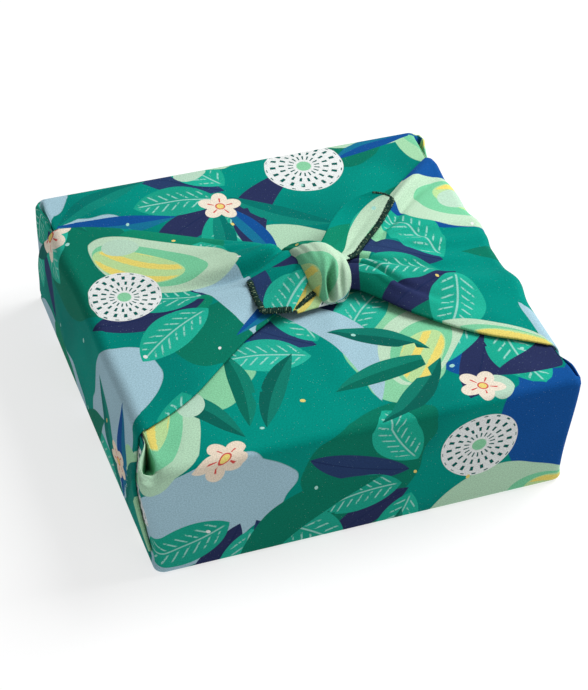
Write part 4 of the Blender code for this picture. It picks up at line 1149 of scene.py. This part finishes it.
def hem_material():
    """Overlocked thread: near-black green, its turns of thread crossed by short light ends."""
    n = Nodes("overlocked hem")
    flat = n.attribute("flat")
    u, v, _ = n.parts(flat)
    turns = n.math("SINE", u * (HEM_TURNS * 2 * math.pi) + v * 1400.0)
    ends = n.step(n.noise(flat, 900.0, 3.0), 0.56, 0.62) * n.step(turns, -0.2, 0.7)
    tone = n.mix(n.noise(flat, 350.0), "0B1F1C", "1E3F36")
    n.shade(Base_Color=n.mix(ends * 0.75, tone, "9FB08C"), Roughness=0.85, Specular_IOR_Level=0.10)
    n.lift(turns, 0.5, 0.0002)
    return n.material


def card_material():
    """Uncoated card of the gift box: a fine speckle of fibres."""
    n = Nodes("card")
    at = n.add("TexCoord", None, None, 3)
    fibre = n.noise(at, 350.0, 4.0)
    n.shade(Base_Color=n.mix(fibre, "C9B594", "DCCBAE"), Roughness=0.9)
    n.lift(fibre, 0.2, 0.0001)
    return n.material


def floor_material():
    """A plain pale floor that also shines a little."""
    n = Nodes("plain floor")
    at = n.add("TexCoord", None, None, 3)
    n.shade(Base_Color=n.mix(n.noise(at, 3.0), grey(0.27), grey(0.29)), Roughness=0.9,
            Emission_Color=(1.0, 1.0, 1.0, 1.0), Emission_Strength=0.70)
    return n.material


# --- the add-on ---

class FuroshikiSizes(bpy.types.PropertyGroup):
    cloth: FloatProperty(name="Cloth", description="Thickness of the cloth", default=0.0005, min=0.0002,
                         unit="LENGTH")
    layer: FloatProperty(name="Layer", description="From one layer of folded cloth to the next",
                         default=0.0009, min=0.0003, unit="LENGTH")
    tail: FloatProperty(name="Free ends", description="Thickness of the free ends", default=0.0006,
                        min=0.0002, unit="LENGTH")
    hem: FloatProperty(name="Hem", description="Width of the overlocked hems", default=HEM_WIDTH,
                       min=0.001, unit="LENGTH")


class FuroshikiColours(bpy.types.PropertyGroup):
    base: FloatVectorProperty(name="Base", description="Colour of the cloth under its print", subtype="COLOR",
                              default=linear("009283"), min=0.0, max=1.0)
    shade: FloatVectorProperty(name="Shade", description="The deeper tone of that colour", subtype="COLOR",
                               default=linear("008377"), min=0.0, max=1.0)


def add_cloth(name, grids, thickness=0.0, material=None):
    """A visible piece of the CAD's cloth, in the printed cotton or another material."""
    made = grids_object(name, grids, thickness)
    printed = bpy.data.materials.get("printed cotton")
    made.data.materials.append(material or printed or print_material(bpy.context.scene.furoshiki_colours))
    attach(made, "root")
    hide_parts("cloth")


class FUROSHIKI_OT_folded_cloth(bpy.types.Operator):
    """Build the cloth that is folded round the box"""
    bl_idname = "furoshiki.folded_cloth"
    bl_label = "Folded cloth"

    def execute(self, context):
        sizes = context.scene.furoshiki_sizes
        add_cloth("folded_cloth", Wrap(sizes.cloth, sizes.layer).grids(), sizes.cloth)
        return {"FINISHED"}


class FUROSHIKI_OT_knot(bpy.types.Operator):
    """Build the knot's band"""
    bl_idname = "furoshiki.knot"
    bl_label = "Knot"

    def execute(self, context):
        add_cloth("knot_band", [(knot_grid(), True)])
        return {"FINISHED"}


class FUROSHIKI_OT_free_ends(bpy.types.Operator):
    """Build the two free ends of the knot and the layer under the left one"""
    bl_idname = "furoshiki.free_ends"
    bl_label = "Free ends"

    def execute(self, context):
        under = [under_grid(UNDER_LAYER, UNDER_SAG), under_grid(UNDER_FOLD, FOLD_SAG)]
        for name, grids in (("left_end", [left_end_grid()]), ("right_end", [right_end_grid()]),
                            ("left_end_under", under)):
            add_cloth(name, [(grid, False) for grid in grids], context.scene.furoshiki_sizes.tail)
        return {"FINISHED"}


class FUROSHIKI_OT_hems(bpy.types.Operator):
    """Build the overlocked hems along the free ends"""
    bl_idname = "furoshiki.hems"
    bl_label = "Hems"

    def execute(self, context):
        width = context.scene.furoshiki_sizes.hem
        far = width * FAR_HEM_SHARE
        left, right, under = (grid[..., :3] for grid in (left_end_grid(), right_end_grid(),
                                                         under_grid(UNDER_LAYER, UNDER_SAG)))
        turn, start = round(LEFT_TURN * (len(left) - 1)), RIGHT_HEM_START
        lines = {
            "left_hem": ((left[-1], left[-2], width), (left[turn:, 0], left[turn:, 1], width)),
            "under_hem": ((under[:, -1], under[:, -2], width),),
            "right_hem": ((right[start:, 0], right[start:, 1], width), (right[-1], right[-2], far)),
        }
        material = hem_material()
        for name, edges in lines.items():
            add_cloth(name, [(hem_grid(*edge), True) for edge in edges], material=material)
        return {"FINISHED"}


class FUROSHIKI_OT_box(bpy.types.Operator):
    """Give the hidden gift box its card"""
    bl_idname = "furoshiki.box"
    bl_label = "Gift box"

    def execute(self, context):
        material = card_material()
        for found in bpy.data.objects:
            if found.type == "MESH" and found.name.split(".")[0] == "box":
                for slot in found.material_slots:
                    slot.material = material
        return {"FINISHED"}


FLOOR_REACH = 20
SKY_STRENGTH = 0.36
# The lights: place, size of the square and power. They aim at one place.
LIGHTS = (("key", (1.35, 0.25, 1.6), 1.2, 56.0), ("fill", (0.6, -1.8, 1.3), 1.4, 4.0))
LIT_PLACE = (0, 0, 0.03)
# The camera: angles in degrees, and its sensor and lens in millimetres.
SENSOR = 36.0
NEAREST = 0.01
CAMERA = {"azimuth": -22.40, "elevation": 41.74, "roll": 3.48, "distance": 1.2682,
          "target": (0.0002, -0.0013, 0.0337), "lens": SENSOR * 2107.8 / 690}


class FUROSHIKI_OT_stage(bpy.types.Operator):
    """Build the floor, the lights and the camera"""
    bl_idname = "furoshiki.stage"
    bl_label = "Stage"

    def execute(self, context):
        mesh = bpy.data.meshes.new("floor")
        far = FLOOR_REACH
        mesh.from_pydata([(-far, -far, 0), (far, -far, 0), (far, far, 0), (-far, far, 0)], [], [(0, 1, 2, 3)])
        floor = bpy.data.objects.new("floor", mesh)
        context.scene.collection.objects.link(floor)
        floor.data.materials.append(floor_material())
        world = bpy.data.worlds.new("studio")
        context.scene.world = world
        world.use_nodes = True
        sky = world.node_tree.nodes["Background"].inputs
        sky["Color"].default_value, sky["Strength"].default_value = (1.0, 1.0, 1.0, 1.0), SKY_STRENGTH
        for name, place, size, power in LIGHTS:
            data = bpy.data.lights.new(name, "AREA")
            data.size, data.energy = size, power
            light = bpy.data.objects.new(name, data)
            aim = (Vector(place) - Vector(LIT_PLACE)).to_track_quat("Z", "Y")
            light.matrix_world = Matrix.Translation(place) @ aim.to_matrix().to_4x4()
            context.scene.collection.objects.link(light)
        add_camera(context.scene)
        context.scene.view_settings.view_transform = "Standard"
        return {"FINISHED"}


def add_camera(scene):
    """A camera at a distance from its target, turned by its roll about the line of sight."""
    data = bpy.data.cameras.new("camera")
    data.sensor_width, data.lens, data.clip_start = SENSOR, CAMERA["lens"], NEAREST
    made = bpy.data.objects.new("camera", data)
    azimuth, elevation, roll = (math.radians(CAMERA[k]) for k in ("azimuth", "elevation", "roll"))
    back = Vector((math.sin(azimuth) * math.cos(elevation), -math.cos(azimuth) * math.cos(elevation),
                   math.sin(elevation)))
    right = (-back).cross(Vector((0, 0, 1))).normalized()
    up = right.cross(-back)
    across = right * math.cos(roll) + up * math.sin(roll)
    above = up * math.cos(roll) - right * math.sin(roll)
    place = Vector(CAMERA["target"]) + back * CAMERA["distance"]
    made.matrix_world = Matrix([(across[k], above[k], back[k], place[k]) for k in range(3)] + [(0, 0, 0, 1)])
    scene.collection.objects.link(made)
    scene.camera = made


PIECES = (FUROSHIKI_OT_folded_cloth, FUROSHIKI_OT_knot, FUROSHIKI_OT_free_ends, FUROSHIKI_OT_hems,
          FUROSHIKI_OT_box, FUROSHIKI_OT_stage)


class FUROSHIKI_PT_panel(bpy.types.Panel):
    """The pieces and sizes of the furoshiki wrap"""
    bl_idname = "FUROSHIKI_PT_panel"
    bl_label = "Furoshiki wrap"
    bl_space_type = "VIEW_3D"
    bl_region_type = "UI"
    bl_category = "Furoshiki"

    def draw(self, context):
        for piece in PIECES:
            self.layout.operator(piece.bl_idname)
        for group in (context.scene.furoshiki_sizes, context.scene.furoshiki_colours):
            for name in group.__annotations__:
                self.layout.prop(group, name)


CLASSES = (FuroshikiSizes, FuroshikiColours, *PIECES, FUROSHIKI_PT_panel)


def register():
    for cls in CLASSES:
        bpy.utils.register_class(cls)
    bpy.types.Scene.furoshiki_sizes = PointerProperty(type=FuroshikiSizes)
    bpy.types.Scene.furoshiki_colours = PointerProperty(type=FuroshikiColours)


def unregister():
    del bpy.types.Scene.furoshiki_colours
    del bpy.types.Scene.furoshiki_sizes
    for cls in reversed(CLASSES):
        bpy.utils.unregister_class(cls)


def plain(bounds):
    return [[float(number) for number in corner] for corner in bounds]


def main():
    register()
    bpy.ops.furoshiki.folded_cloth()
    bpy.ops.furoshiki.knot()
    bpy.ops.furoshiki.free_ends()
    bpy.ops.furoshiki.hems()
    bpy.ops.furoshiki.box()
    bpy.ops.furoshiki.stage()


if __name__ == "__main__":
    main()
